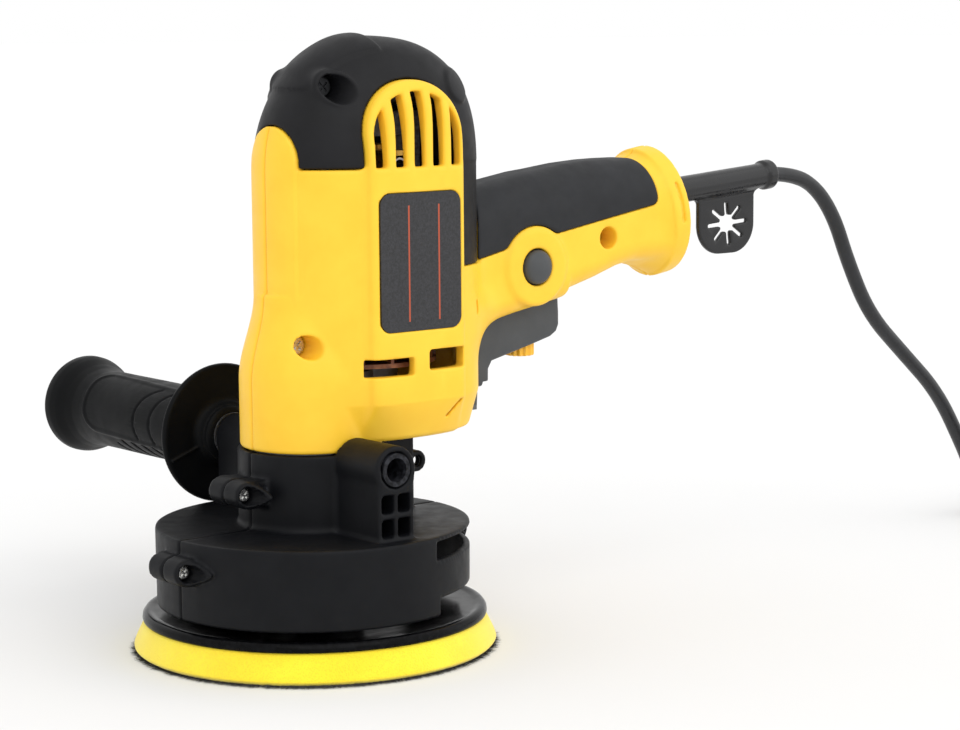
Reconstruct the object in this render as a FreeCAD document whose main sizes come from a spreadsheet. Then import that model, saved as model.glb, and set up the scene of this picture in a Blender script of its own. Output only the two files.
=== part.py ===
"""Dual action car polisher, corded, with a 125 mm pad, modelled piece by piece.

Frame: origin at the centre of the pad's working face, +Z up along the spindle,
+X towards the rear handle, +Y towards the screwed-in side handle.
Sub-parts are drawn about the spindle and then moved one crank radius, because
the pad's axis and the spindle's axis are apart by the crank radius.
"""
import FreeCAD, Part
import math
import os
import re

import Sketcher
from FreeCAD import Placement, Rotation, Vector

DIMENSIONS = {
    # pad
    "pad_radius": 62.5, "foam_top_radius": 58.6, "hook_thickness": 1.5, "foam_top": 11.7,
    "plate_rim": 2.3, "plate_hub_radius": 19, "plate_hub_top": 21, "nut_radius": 8,
    "pad_shaft_radius": 6, "pad_shaft_top": 37.5,
    # crank and spindle
    "crank_radius": 4, "crank_angle": 50, "hub_bottom": 26, "hub_top": 40.8, "hub_radius": 17.5,
    "weight_radius": 36, "weight_bottom": 30, "spindle_radius": 6, "spindle_top": 97,
    # shroud
    "skirt_radius": 54, "skirt_bottom": 17.6, "skirt_top": 44.1, "shroud_wall": 2.8,
    "neck_radius": 25.5, "neck_top": 70.4, "block_width": 14.6, "block_face": 48.7,
    "thread_height": 68, "thread_radius": 4, "insert_radius": 5.6, "insert_length": 16,
    # gear train, module 0.75, 14 and 42 teeth
    "gear_module": 0.75, "pinion_teeth": 14, "wheel_teeth": 42, "motor_offset": 21,
    "gear_bottom": 80, "gear_width": 8, "case_radius": 21.4, "case_bottom": 44.6, "case_top": 90,
    "bearing_plate_top": 97,
    # motor
    "stator_radius": 27.8, "stator_bottom": 112, "stator_top": 152, "armature_radius": 16,
    "shaft_radius": 4, "commutator_radius": 11.5, "commutator_bottom": 160, "commutator_top": 173,
    "motor_shaft_top": 184, "fan_radius": 26.5, "fan_bottom": 98.2, "fan_height": 6.5,
    # housing
    "body_middle": 21.2, "body_front": 39.8, "body_rear": 41.9, "body_half_width": 31,
    "body_bottom": 74, "body_top": 167, "dome_base": 164, "dome_height": 46, "wall": 2.8,
    "bulge_radius": 24.5, "bulge_bottom": 70.8, "bulge_shoulder": 96, "bulge_top": 122,
    "panel_face": 31.4, "arch_middle": 22, "arch_radius": 20.8, "arch_spring": 174,
    # rear handle
    "handle_x": 155.2, "handle_z": 143.1, "handle_tilt": 9.1, "handle_half_width": 17,
    "flange_radius": 24.5, "trigger_travel": 6, "lock_travel": 3,
    "trigger_half_width": 8, "lock_x": 86.8, "lock_z": 127.4, "lock_radius": 6.2,
    "dial_x": 93, "dial_radius": 5.2, "dial_bottom": 93.6, "dial_top": 99.4,
    # side handle
    "grip_radius": 14.6, "grip_flange_radius": 25.3, "grip_flange_y": 55.3, "knob_radius": 18.5,
    "grip_end": 156, "washer_thickness": 0.8,
    # mains lead
    "cord_radius": 2.95, "coil_radius": 36, "bundle_radius": 9.2, "coil_x": 408, "coil_y": -26,
}

doc = FreeCAD.newDocument("polisher")
sizes = doc.addObject("Spreadsheet::Sheet", "Sizes")
for row, (alias, value) in enumerate(DIMENSIONS.items(), start=1):
    sizes.set(f"A{row}", alias)
    sizes.set(f"B{row}", str(value))
    sizes.setAlias(f"B{row}", alias)
doc.recompute()

UP = Vector(0, 0, 1)
nodes = []


# ---------------------------------------------------------------- helpers

def formula(text):
    """Point every sheet name in a formula at the sheet."""
    return re.sub(r"[a-z_]+", lambda word: "Sizes." + word.group(), str(text))


def number(text):
    """The value of a formula in the sheet's names."""
    return float(sizes.evalExpression(formula(text)))


def point(x, y, z):
    return Vector(number(x), number(y), number(z))


CRANK = Vector(number("crank_radius"), 0, 0)
CRANK = Rotation(UP, number("crank_angle")).multVec(CRANK)


def node(piece, label):
    """Name a finished sub-part and move it from the spindle's frame to the pad's."""
    piece.Label = label
    piece.Placement = Placement(-CRANK, Rotation()).multiply(piece.Placement)
    nodes.append(piece)
    return piece


def shape_node(label, shape):
    piece = doc.addObject("Part::Feature", label + "_shape")
    piece.Shape = shape
    return node(piece, label)


def cylinder(name, radius, height, base=(0, 0, 0), axis=UP):
    solid = doc.addObject("Part::Cylinder", name)
    solid.setExpression("Radius", formula(radius))
    solid.setExpression("Height", formula(height))
    solid.Placement = Placement(point(*base), Rotation(UP, axis))
    return solid


def box(name, length, width, height, corner):
    solid = doc.addObject("Part::Box", name)
    for side, text in (("Length", length), ("Width", width), ("Height", height)):
        solid.setExpression(side, formula(text))
    solid.Placement = Placement(point(*corner), Rotation())
    return solid


def cut(name, base, *tools):
    """Take every tool away from the base, as a chain of Part cuts."""
    for index, tool in enumerate(tools):
        step = doc.addObject("Part::Cut", f"{name}_cut{index}")
        step.Base = base
        step.Tool = tool
        base = step
    return base


def fuse(name, *parts):
    whole = doc.addObject("Part::MultiFuse", name)
    whole.Shapes = list(parts)
    return whole


def draw(sketch, outline):
    """Draw a closed outline whose corners are bound to the sheet."""
    corners = [point(across, along, 0) for across, along in outline]
    count = len(corners)
    for index in range(count):
        sketch.addGeometry(Part.LineSegment(corners[index], corners[(index + 1) % count]))
    for index in range(count):
        sketch.addConstraint(Sketcher.Constraint("Coincident", index, 2, (index + 1) % count, 1))
    for index, (across, along) in enumerate(outline):
        for kind, axis, text, value in (("DistanceX", -2, across, corners[index].x),
                                        ("DistanceY", -1, along, corners[index].y)):
            if abs(value) < 1e-9:
                sketch.addConstraint(Sketcher.Constraint("PointOnObject", index, 1, axis))
            else:
                bound = Sketcher.Constraint(kind, -1, 1, index, 1, value)
                place = sketch.addConstraint(bound)
                sketch.setExpression(f"Constraints[{place}]", formula(text))


def sketched_body(name, plane_role, outline):
    body = doc.addObject("PartDesign::Body", name)
    sketch = body.newObject("Sketcher::SketchObject", name + "_outline")
    plane = next(item for item in body.Origin.OriginFeatures if item.Role == plane_role)
    sketch.AttachmentSupport = (plane, [""])
    sketch.MapMode = "FlatFace"
    draw(sketch, outline)
    return body, sketch


def turned(name, outline, base=(0, 0, 0), axis=UP):
    """A body turned from an outline of (radius, height) formulas."""
    body, sketch = sketched_body(name, "XZ_Plane", outline)
    turn = body.newObject("PartDesign::Revolution", name + "_turn")
    turn.Profile = sketch
    turn.ReferenceAxis = (sketch, ["V_Axis"])
    turn.Angle = 360
    body.Placement = Placement(point(*base), Rotation(UP, axis))
    return body


def side_plate(corners, half_width, middle=0.0):
    """A solid of an outline of (x, z) points, standing on both sides of the mid plane."""
    wire = Part.makePolygon([Vector(x, middle - half_width, z) for x, z in corners + corners[:1]])
    return Part.Face(wire).extrude(Vector(0, 2 * half_width, 0))


def largest(shape):
    """The main solid, without the chips that crossing cuts leave."""
    return max(shape.Solids, key=lambda solid: solid.Volume)


def slab(x_range, y_range, z_range):
    lows, highs = zip(x_range, y_range, z_range)
    return Part.makeBox(*(high - low for low, high in zip(lows, highs)), Vector(*lows))


# ---------------------------------------------------------------- pad

def make_pad():
    """Hook face, foam and backing plate, turned about the pad's own axis."""
    at = (CRANK.x, CRANK.y, 0)
    hook = turned("Hook", [("0", "0"), ("pad_radius - 1.2", "0"), ("pad_radius - 0.7", "0.6"),
                           ("pad_radius - 0.7", "hook_thickness"), ("0", "hook_thickness")], at)
    node(hook, "hook_face")
    foam = turned("Foam", [("0", "hook_thickness"), ("pad_radius - 1", "hook_thickness"),
                           ("pad_radius", "hook_thickness + 1.2"), ("pad_radius", "hook_thickness + 2"),
                           ("foam_top_radius", "foam_top"), ("0", "foam_top")], at)
    node(foam, "foam_pad")
    plate = turned("Plate", [
        ("nut_radius", "foam_top"), ("foam_top_radius", "foam_top"),
        ("foam_top_radius + 0.3", "foam_top + 1.1"), ("foam_top_radius - 0.8", "foam_top + plate_rim"),
        ("foam_top_radius - 3.5", "foam_top + 1.6"), ("40", "foam_top + 1.9"),
        ("plate_hub_radius + 6", "foam_top + 3.6"), ("plate_hub_radius", "plate_hub_top - 2"),
        ("plate_hub_radius - 2", "plate_hub_top"), ("nut_radius", "plate_hub_top")], at)
    node(plate, "backing_plate")
    nut = turned("Nut", [("pad_shaft_radius", "foam_top"), ("nut_radius", "foam_top"),
                         ("nut_radius", "plate_hub_top + 1"), ("pad_shaft_radius", "plate_hub_top + 1")],
                 at)
    node(nut, "plate_hub_nut")
    shaft = turned("PadShaft", [
        ("0", "foam_top + 1"), ("pad_shaft_radius", "foam_top + 1"),
        ("pad_shaft_radius", "plate_hub_top + 1"), ("8.6", "plate_hub_top + 1"),
        ("8.6", "hub_bottom - 1"), ("pad_shaft_radius + 1.5", "hub_bottom"),
        ("pad_shaft_radius + 1.5", "hub_bottom + 2"), ("pad_shaft_radius - 0.03", "hub_bottom + 2"),
        ("pad_shaft_radius - 0.03", "pad_shaft_top"), ("0", "pad_shaft_top")], at)
    node(shaft, "pad_shaft")


# ---------------------------------------------------------------- crank, spindle and gears

def bearing(name, bore, outside, bottom, width, at=(0, 0)):
    """A shielded ball bearing as one ring, with grooves between races and shield."""
    groove = f"({bore} + {outside}) / 2"
    return turned(name, [
        (bore, "0"), (f"{groove} - 0.8", "0"), (f"{groove} - 0.8", "0.4"), (f"{groove} + 0.8", "0.4"),
        (f"{groove} + 0.8", "0"), (outside, "0"), (outside, width), (f"{groove} + 0.8", width),
        (f"{groove} + 0.8", f"{width} - 0.4"), (f"{groove} - 0.8", f"{width} - 0.4"),
        (f"{groove} - 0.8", width), (bore, width)], (at[0], at[1], bottom))


def make_crank():
    """Eccentric hub with its counterweight; the pad's bearing sits in it off centre."""
    cup = cylinder("HubCup", "hub_radius", "hub_top - hub_bottom", (CRANK.x, CRANK.y, "hub_bottom"))
    weight = doc.addObject("Part::Cylinder", "Counterweight")
    weight.setExpression("Radius", formula("weight_radius"))
    weight.setExpression("Height", formula("hub_top - weight_bottom"))
    weight.Angle = 130
    half_turn = 180 - weight.Angle.Value / 2
    weight.Placement = Placement(point(0, 0, "weight_bottom"),
                                 Rotation(UP, number("crank_angle") + half_turn))
    seat = cylinder("BearingSeat", "14", "10", (CRANK.x, CRANK.y, "hub_bottom"))
    relief = cylinder("ShaftRelief", "pad_shaft_radius + 2", "2.5",
                      (CRANK.x, CRANK.y, "hub_bottom + 10"))
    bore = cylinder("SpindleBore", "spindle_radius - 1", "10", (0, 0, "hub_top - 2"))
    hub = cut("Hub", fuse("HubBlank", cup, weight), seat, relief, bore)
    node(hub, "eccentric_hub")
    pad_bearing = bearing("PadBearing", "pad_shaft_radius", "13.98", "hub_bottom + 2.1", "7.8",
                          (CRANK.x, CRANK.y))
    node(pad_bearing, "pad_bearing")
    clip = cut("Clip", cylinder("ClipRing", "13.9", "1.2", (CRANK.x, CRANK.y, "hub_bottom + 0.6")),
               cylinder("ClipBore", "10.5", "1.2", (CRANK.x, CRANK.y, "hub_bottom + 0.6")),
               box("ClipGap", "6", "3", "1.2", (CRANK.x + 9.5, CRANK.y - 1.5, "hub_bottom + 0.6")))
    node(clip, "bearing_clip")


def make_spindle():
    shaft = turned("Spindle", [
        ("0", "hub_top - 2"), ("spindle_radius - 1", "hub_top - 2"), ("spindle_radius - 1", "hub_top"),
        ("spindle_radius + 2", "hub_top"), ("spindle_radius + 2", "46"),
        ("spindle_radius - 0.03", "46"), ("spindle_radius - 0.03", "gear_bottom - 6"),
        ("spindle_radius + 1.5", "gear_bottom - 6"), ("spindle_radius + 1.5", "gear_bottom"),
        ("spindle_radius - 1", "gear_bottom"), ("spindle_radius - 1", "bearing_plate_top - 6.4"),
        ("2.97", "bearing_plate_top - 6.4"), ("2.97", "spindle_top"), ("0", "spindle_top")])
    node(shaft, "spindle_shaft")


def involute_outline(teeth, module, shift):
    """Corners of a spur gear's outline, tooth by tooth, from the involute of its base circle."""
    pressure = math.radians(20)
    pitch = module * teeth / 2
    base = pitch * math.cos(pressure)
    tip = pitch + module * (0.9 + shift)
    root = pitch - module * (1.2 - shift)
    backlash = 0.09
    spread = math.tan(pressure) - pressure
    half_tooth = (math.pi / 2 + 2 * shift * math.tan(pressure)) / teeth - backlash / pitch / 2
    corners = []
    for tooth in range(teeth):
        middle = 2 * math.pi * tooth / teeth
        flank = []
        for step in range(5):
            radius = max(base, root) + (tip - max(base, root)) * step / 4
            roll = math.acos(min(1.0, base / radius))
            flank.append((radius, half_tooth + spread - (math.tan(roll) - roll)))
        flank.insert(0, (root, flank[0][1] + (0.02 if root < base else 0.0)))
        for side in (-1, 1):
            order = flank if side < 0 else flank[::-1]
            corners += [(radius * math.cos(middle + side * angle),
                         radius * math.sin(middle + side * angle)) for radius, angle in order]
    return corners


def gear(teeth, shift, bore, bottom, width, turned_by=0.0):
    corners = [Vector(x, y, 0) for x, y in involute_outline(teeth, number("gear_module"), shift)]
    blank = Part.Face(Part.makePolygon(corners + corners[:1])).extrude(Vector(0, 0, width))
    blank = blank.cut(Part.makeCylinder(bore, width))
    blank.Placement = Placement(Vector(0, 0, bottom), Rotation(UP, turned_by))
    return blank


def make_gears():
    """The wheel keys onto the spindle and meshes with the pinion on the motor's shaft."""
    bottom = number("gear_bottom")
    width = number("gear_width")
    wheel = gear(int(number("wheel_teeth")), -0.2, number("spindle_radius - 1"), bottom, width)
    key = Part.makeBox(2.4, 3, width, Vector(3.6, -1.5, bottom))
    web = Part.makeCylinder(12.5, 1.5, Vector(0, 0, bottom + width - 1.5))
    web = web.cut(Part.makeCylinder(7.5, 1.5, Vector(0, 0, bottom + width - 1.5)))
    shape_node("spindle_gear", wheel.cut(web).cut(key))
    shape_node("gear_key", Part.makeBox(0.9, 2.9, width, Vector(5.03, -1.45, bottom)))
    half_pitch = 180.0 / number("pinion_teeth")
    pinion = gear(int(number("pinion_teeth")), 0.2, number("shaft_radius") - 0.5, bottom - 0.5,
                  width + 1, half_pitch)
    pinion.translate(Vector(number("motor_offset"), 0, 0))
    shape_node("pinion", pinion)


def oval(inset, bottom, height):
    """The gear case's egg-shaped plan, around both shafts, as a solid."""
    large = Part.makeCylinder(number("case_radius") - inset, height, Vector(0, 0, bottom))
    offset = number("motor_offset")
    small = Part.makeCylinder(13 - inset, height, Vector(offset, 0, bottom))
    bridge = Part.makeBox(offset, 2 * (11 - inset), height, Vector(0, -(11 - inset), bottom))
    return large.fuse([small, bridge]).removeSplitter()


def make_gear_case():
    """Cast case with the spindle's lower bearing, closed by the plate that holds two bearings."""
    bottom = number("case_bottom")
    top = number("case_top")
    plate_top = number("bearing_plate_top")
    offset = number("motor_offset")
    neck = Part.makeCylinder(number("case_radius"), 76 - bottom, Vector(0, 0, bottom))
    case = neck.fuse(oval(0, 74, top - 74)).cut(oval(2.6, 77, top - 77))
    case = case.cut(Part.makeCylinder(8.5, 40, Vector(0, 0, bottom)))
    case = case.cut(Part.makeCylinder(16, 10.2, Vector(0, 0, bottom)))
    case = case.cut(Part.makeCylinder(10.6, 22, Vector(0, 0, bottom + 10)))
    shape_node("gear_case", case.removeSplitter())
    plate = oval(0, top, plate_top - top)
    for x, depth in ((0, 6.2), (offset, 6.2)):
        plate = plate.cut(Part.makeCylinder(9.5, depth, Vector(x, 0, plate_top - depth)))
        plate = plate.cut(Part.makeCylinder(5.6, 10, Vector(x, 0, top)))
    shape_node("bearing_plate", plate.removeSplitter())
    ring = Part.makeCylinder(15.9, 1.4, Vector(0, 0, bottom)).cut(
        Part.makeCylinder(11, 1.4, Vector(0, 0, bottom)))
    shape_node("bearing_retainer", ring)
    node(bearing("LowerSpindleBearing", "spindle_radius", "15.95", "case_bottom + 1.5", "8.6"),
         "lower_spindle_bearing")
    node(bearing("UpperSpindleBearing", "3", "9.45", "bearing_plate_top - 6.1", "6"),
         "upper_spindle_bearing")
    node(bearing("LowerMotorBearing", "shaft_radius - 0.5", "9.45", "bearing_plate_top - 6.1", "6",
                 ("motor_offset", 0)), "lower_motor_bearing")


# ---------------------------------------------------------------- motor

def motor_ring(bottom, height, outer, inner=0.0):
    base = Vector(number("motor_offset"), 0, bottom)
    ring = Part.makeCylinder(outer, height, base)
    if inner:
        ring = ring.cut(Part.makeCylinder(inner, height, base))
    return ring


def motor_box(across, width, bottom, height, distance=0.0, turned_by=0.0):
    """A block set radially out from the motor's axis and turned about it."""
    block = Part.makeBox(across, width, height, Vector(distance, -width / 2, 0))
    block.Placement = Placement(Vector(number("motor_offset"), 0, bottom), Rotation(UP, turned_by))
    return block


def make_stator():
    """Laminated field with two poles left and right, and a coil round each pole."""
    bottom = number("stator_bottom")
    height = number("stator_top") - bottom
    outside = number("stator_radius")
    bore = number("armature_radius") + 0.6
    yoke = motor_ring(bottom, height, outside, outside - 4.5)
    poles = [motor_box(outside - 3 - bore, 17, bottom, height, bore - 1, angle) for angle in (90, 270)]
    shoes = motor_ring(bottom, height, bore + 2.6, bore)
    keep = motor_box(2 * outside, 30, bottom, height, -outside, 90)
    core = yoke.fuse(poles).fuse(shoes.common(keep)).cut(motor_ring(bottom, height, bore))
    shape_node("stator_core", core.removeSplitter())
    coils = []
    for angle in (90, 270):
        outer = motor_box(3.0, 26, bottom - 5, height + 10, bore + 3.1, angle)
        window = motor_box(3.0, 18, bottom - 0.4, height + 0.8, bore + 3.1, angle)
        coils.append(outer.cut(window).common(motor_ring(bottom - 5, height + 10, outside - 4.8)))
    shape_node("field_coils", Part.Compound(coils))


def make_armature():
    """Shaft, slotted core, end windings, commutator and fan, all turning with the pinion."""
    offset = ("motor_offset", 0, 0)
    shaft = turned("ArmatureShaft", [
        ("0", "gear_bottom - 0.5"), ("shaft_radius - 0.53", "gear_bottom - 0.5"),
        ("shaft_radius - 0.53", "bearing_plate_top"),
        ("shaft_radius", "bearing_plate_top"), ("shaft_radius", "commutator_top + 1"),
        ("shaft_radius - 0.53", "commutator_top + 1"), ("shaft_radius - 0.53", "motor_shaft_top"),
        ("0", "motor_shaft_top")], offset)
    node(shaft, "armature_shaft")
    bottom = number("stator_bottom")
    height = number("stator_top") - bottom
    radius = number("armature_radius")
    inner = number("shaft_radius")
    core = motor_ring(bottom, height, radius, inner)
    slot_count = 12
    slots = [motor_box(4.5, 1.8, bottom, height, radius - 4, 360 * index / slot_count)
             for index in range(slot_count)]
    shape_node("armature_core", core.cut(slots))
    ends = []
    for start, tall in ((bottom - 7, 7), (bottom + height, 7)):
        ring = motor_ring(start, tall, radius - 2, inner + 0.5)
        edges = [edge for edge in ring.Edges if abs(edge.BoundBox.XLength - 2 * (radius - 2)) < 0.1]
        ends.append(ring.makeFillet(2.0, edges))
    shape_node("armature_windings", Part.Compound(ends))
    low = number("commutator_bottom")
    tall = number("commutator_top") - low
    bars = motor_ring(low, tall, number("commutator_radius"), inner)
    bar_count = 24
    gaps = [motor_box(1.5, 0.6, low, tall, number("commutator_radius") - 1, 360 * index / bar_count)
            for index in range(bar_count)]
    shape_node("commutator", bars.cut(gaps))
    fan_low = number("fan_bottom")
    fan_height = number("fan_height")
    fan_out = number("fan_radius")
    disc = motor_ring(fan_low, 1.5, fan_out, inner).fuse(motor_ring(fan_low, fan_height, 8, inner))
    blade_count = 16
    blades = [motor_box(fan_out - 7.6, 1.2, fan_low, fan_height, 7.5, 360 * (index + 0.5) / blade_count)
              for index in range(blade_count)]
    shape_node("cooling_fan", disc.fuse(blades).removeSplitter())


def make_brush_gear():
    """Bridge over the commutator with the top bearing and both brush holders."""
    low = number("commutator_top") + 3
    offset = number("motor_offset")
    bridge = Part.makeBox(2 * 21, 16, 8, Vector(offset - 21, -8, low))
    bridge = bridge.fuse(motor_ring(low, 8, 13))
    bridge = bridge.cut(motor_ring(low, 6.2, 9.5)).cut(motor_ring(low, 8, 5.5))
    legs = [Part.makeBox(3, 16, 20, Vector(offset + x, -8, low - 12)) for x in (-21, 18)]
    shape_node("brush_bridge", bridge.fuse(legs).removeSplitter())
    node(bearing("UpperMotorBearing", "shaft_radius - 0.5", "9.45", "commutator_top + 3.1", "6",
                 ("motor_offset", 0)), "upper_motor_bearing")
    middle = (number("commutator_bottom") + number("commutator_top")) / 2
    outer = number("commutator_radius")
    holders, brushes, springs = [], [], []
    for side in (-1, 1):
        angle = 90 * side
        holder = motor_box(12, 9, middle - 5, 10, outer + 1.2, angle)
        holders.append(holder.cut(motor_box(12, 6.6, middle - 3.3, 6.6, outer + 1.2, angle)))
        brushes.append(motor_box(8, 6.4, middle - 3.1, 6.2, outer + 0.1, angle))
        coil = Part.makeCylinder(2.6, 4.6, Vector(0, 0, 0), Vector(0, side, 0))
        coil = coil.cut(Part.makeCylinder(2.0, 4.6, Vector(0, 0, 0), Vector(0, side, 0)))
        coil.translate(Vector(offset, side * (outer + 8.3), middle))
        springs.append(coil)
    shape_node("brush_holders", Part.Compound(holders))
    shape_node("carbon_brushes", Part.Compound(brushes))
    shape_node("brush_springs", Part.Compound(springs))


# ---------------------------------------------------------------- shroud

def ear_places():
    """Centre x, height, half length and radius of each clamp ear's barrel."""
    skirt = number("skirt_radius")
    return [(-skirt - 2.6, 34.6, 9.0, 4.6), (-32.2, 57.6, 9.0, 4.6), (skirt + 2.6, 34.6, 9.0, 4.6)]


def ear_barrel(x, height, half_length, radius):
    return Part.makeCylinder(radius, 2 * half_length, Vector(x, -half_length, height), Vector(0, 1, 0))


def lug(x, height, half_length, radius):
    """Barrel along Y with a web back to the shroud's wall."""
    inward = -1 if x > 0 else 1
    wall = number("skirt_radius") if height < number("skirt_top") else number("neck_radius")
    reach = abs(x) - wall + 1.5
    low_corner = Vector(min(x, x + inward * reach), -half_length, height - radius)
    web = Part.makeBox(reach, 2 * half_length, 2 * radius, low_corner)
    return ear_barrel(x, height, half_length, radius).fuse(web)


def ear(x, height, half_length, radius):
    """A lug with a fairing that tapers off on each side."""
    solid = lug(x, height, half_length, radius)
    inward = -1 if x > 0 else 1
    for side in (-1, 1):
        start = Vector(x + inward * 1.8, side * half_length, height)
        solid = solid.fuse(Part.makeCone(radius, 1.2, 7.5, start, Vector(0, side, 0)))
    return solid


def make_shroud():
    """Skirt, top plate, neck and two handle blocks, split down the middle into two halves."""
    wall = number("shroud_wall")
    skirt = number("skirt_radius")
    low, high = number("skirt_bottom"), number("skirt_top")
    neck, neck_top = number("neck_radius"), number("neck_top")
    ring = Part.makeCylinder(skirt, high - low, Vector(0, 0, low))
    ring_edges = [edge for edge in ring.Edges if abs(edge.BoundBox.ZMin - high) < 0.01
                  and edge.BoundBox.XLength > skirt]
    ring = ring.makeFillet(1.4, ring_edges)
    solid = ring.fuse(Part.makeCylinder(neck, neck_top - high + 1, Vector(0, 0, high - 1)))
    block = number("block_width")
    face = number("block_face")
    thread = number("thread_height")
    blocks = slab((-block / 2, block / 2), (-face, face), (high - 1, thread))
    crown = Part.makeCylinder(8, 2 * face, Vector(0, -face, thread), Vector(0, 1, 0))
    eyelet = (40.2, 60.0, 2.2, 3.9)
    solid = solid.fuse([blocks, crown, lug(*eyelet)] + [ear(*place) for place in ear_places()])
    inside = Part.makeCylinder(skirt - wall, high - wall - low, Vector(0, 0, low))
    bore = Part.makeCylinder(number("case_radius") + 0.15, 80, Vector(0, 0, low))
    solid = solid.cut(inside).cut(bore)
    solid = solid.cut(Part.makeCylinder(neck - 0.2, 20, Vector(0, 0, neck_top)))
    for side in (-1, 1):
        outward = Vector(0, side, 0)
        length = number("insert_length")
        seat = Part.makeCylinder(number("insert_radius"), length, Vector(0, side * (face - length), thread),
                                 outward)
        solid = solid.cut(seat)
        for column in (-3.1, 3.1):
            for bottom, top in ((high + 1.4, high + 7.4), (high + 9.2, high + 14.6)):
                depths = sorted((side * (face - 14), side * (face + 1)))
                solid = solid.cut(slab((column - 2.35, column + 2.35), depths, (bottom, top)))
    vents = Part.makeCylinder(skirt + 1, 5.6, Vector(0, 0, 36.2), UP, 60)
    notch = Part.makeCylinder(skirt + 1, 5.4, Vector(0, 0, low), UP, 55)
    for cutter, start in ((vents, -75), (notch, -73), (vents, 15), (notch, 18)):
        piece = cutter.copy()
        piece.rotate(Vector(0, 0, 0), UP, start)
        piece = piece.cut(Part.makeCylinder(skirt - wall - 0.1, 80, Vector(0, 0, 0)))
        solid = solid.cut(piece)
    for x, height, half_length, radius in ear_places() + [eyelet]:
        solid = solid.cut(ear_barrel(x, height, half_length + 9, 1.9))
    for x, height, half_length, radius in ear_places():
        for side in (-1, 1):
            pocket = Part.makeCylinder(radius - 1.6, 14, Vector(x, side * (half_length - 4.5), height),
                                       Vector(0, side, 0))
            solid = solid.cut(pocket)
    bounds = 80
    slit = 0.1
    left = solid.common(slab((-bounds, bounds), (slit, bounds), (0, 100)))
    right = solid.common(slab((-bounds, bounds), (-bounds, -slit), (0, 100)))
    shape_node("shroud_left", largest(left))
    shape_node("shroud_right", largest(right))
    screws = []
    for x, height, half_length, radius in ear_places():
        screws.append(screw(Vector(x, -(half_length - 4.5), height), Vector(0, 1, 0),
                            2 * half_length - 10, 1.8, radius - 2.1))
    shape_node("shroud_screws", Part.Compound(screws))
    inserts = []
    for side in (-1, 1):
        outward = Vector(0, side, 0)
        start = Vector(0, side * (number("block_face") - number("insert_length")), thread)
        length = number("insert_length")
        sleeve = Part.makeCylinder(number("insert_radius") - 0.02, length, start, outward)
        inserts.append(sleeve.cut(Part.makeCylinder(number("thread_radius"), length, start, outward)))
    shape_node("thread_inserts", Part.Compound(inserts))


def screw(seat, direction, length, shank, head):
    """A pan head screw whose head stands on the seat, with a cross recess in the head."""
    tall = 1.9
    solid = Part.makeCylinder(shank, length, seat, direction)
    cap = Part.makeCylinder(head, tall, seat, direction * -1)
    rim = [edge for edge in cap.Edges if edge.Closed]
    far = max(rim, key=lambda edge: edge.BoundBox.Center.distanceToPoint(seat + direction * length))
    solid = solid.fuse(cap.makeFillet(0.7, [far]))
    for turned_by in (0, 90):
        bar = Part.makeBox(head * 1.2, 0.8, 1.1, Vector(-head * 0.6, -0.4, -0.55))
        bar.Placement = Placement(seat - direction * tall, Rotation(UP, direction).multiply(
            Rotation(UP, turned_by + 45)))
        solid = solid.cut(bar)
    return solid


# ---------------------------------------------------------------- housing

def body_wire(height, grow=0.0, scale=1.0):
    """The motor housing's egg-shaped plan: an ellipse in front, squarer behind."""
    front = (number("body_front") + grow) * scale
    rear = (number("body_rear") + grow) * scale
    across = (number("body_half_width") + grow) * scale
    count = 32
    points = []
    for index in range(count):
        angle = 2 * math.pi * index / count
        c, s = math.cos(angle), math.sin(angle)
        length, power = (rear, 2 / 2.5) if c > 0 else (front, 1.0)
        points.append(Vector(number("body_middle") + length * math.copysign(abs(c) ** power, c),
                             across * math.copysign(abs(s) ** power, s), height))
    curve = Part.BSplineCurve()
    curve.interpolate(Points=points, PeriodicFlag=True)
    return Part.Wire([curve.toShape()])


def body_solid(bottom, top, grow=0.0):
    return Part.Face(body_wire(bottom, grow)).extrude(Vector(0, 0, top - bottom))


def dome_solid(grow=0.0):
    """The rounded top, as a loft of shrinking plans on an ellipse."""
    base = number("dome_base")
    height = number("dome_height") + grow
    steps = [0, 0.3, 0.55, 0.75, 0.88, 0.96, 0.995]
    wires = [body_wire(base + height * part, grow, math.sqrt(1 - part * part)) for part in steps]
    return Part.makeLoft(wires, True)


def handle_frame():
    tilt = Rotation(Vector(0, 1, 0), -number("handle_tilt"))
    return Placement(point("handle_x", 0, "handle_z"), tilt)


def handle_section(along, top, bottom, half_width, grow):
    """A rounded section across the handle's own axis: a broad crown and a tighter underside."""
    top, bottom, half = top + grow, bottom - grow, half_width + grow
    crown, keel = 0.82 * half, 0.5 * half
    diagonal = math.sqrt(0.5)

    def at(y, z):
        return Vector(along, y, z)

    def corner(y_side, z, radius, z_side):
        y = y_side * (half - radius)
        middle = at(y, z - z_side * radius)
        ends = [at(y_side * half, middle.z), at(y, z)]
        bend = at(y + y_side * radius * diagonal, middle.z + z_side * radius * diagonal)
        return ends, bend

    right_top, right_top_bend = corner(1, top, crown, 1)
    left_top, left_top_bend = corner(-1, top, crown, 1)
    left_low, left_low_bend = corner(-1, bottom, keel, -1)
    right_low, right_low_bend = corner(1, bottom, keel, -1)
    edges = [
        Part.Arc(right_top[0], right_top_bend, right_top[1]), Part.LineSegment(right_top[1], left_top[1]),
        Part.Arc(left_top[1], left_top_bend, left_top[0]), Part.LineSegment(left_top[0], left_low[0]),
        Part.Arc(left_low[0], left_low_bend, left_low[1]), Part.LineSegment(left_low[1], right_low[1]),
        Part.Arc(right_low[1], right_low_bend, right_low[0]),
        Part.LineSegment(right_low[0], right_top[0])]
    return Part.Wire([edge.toShape() for edge in edges])


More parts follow.
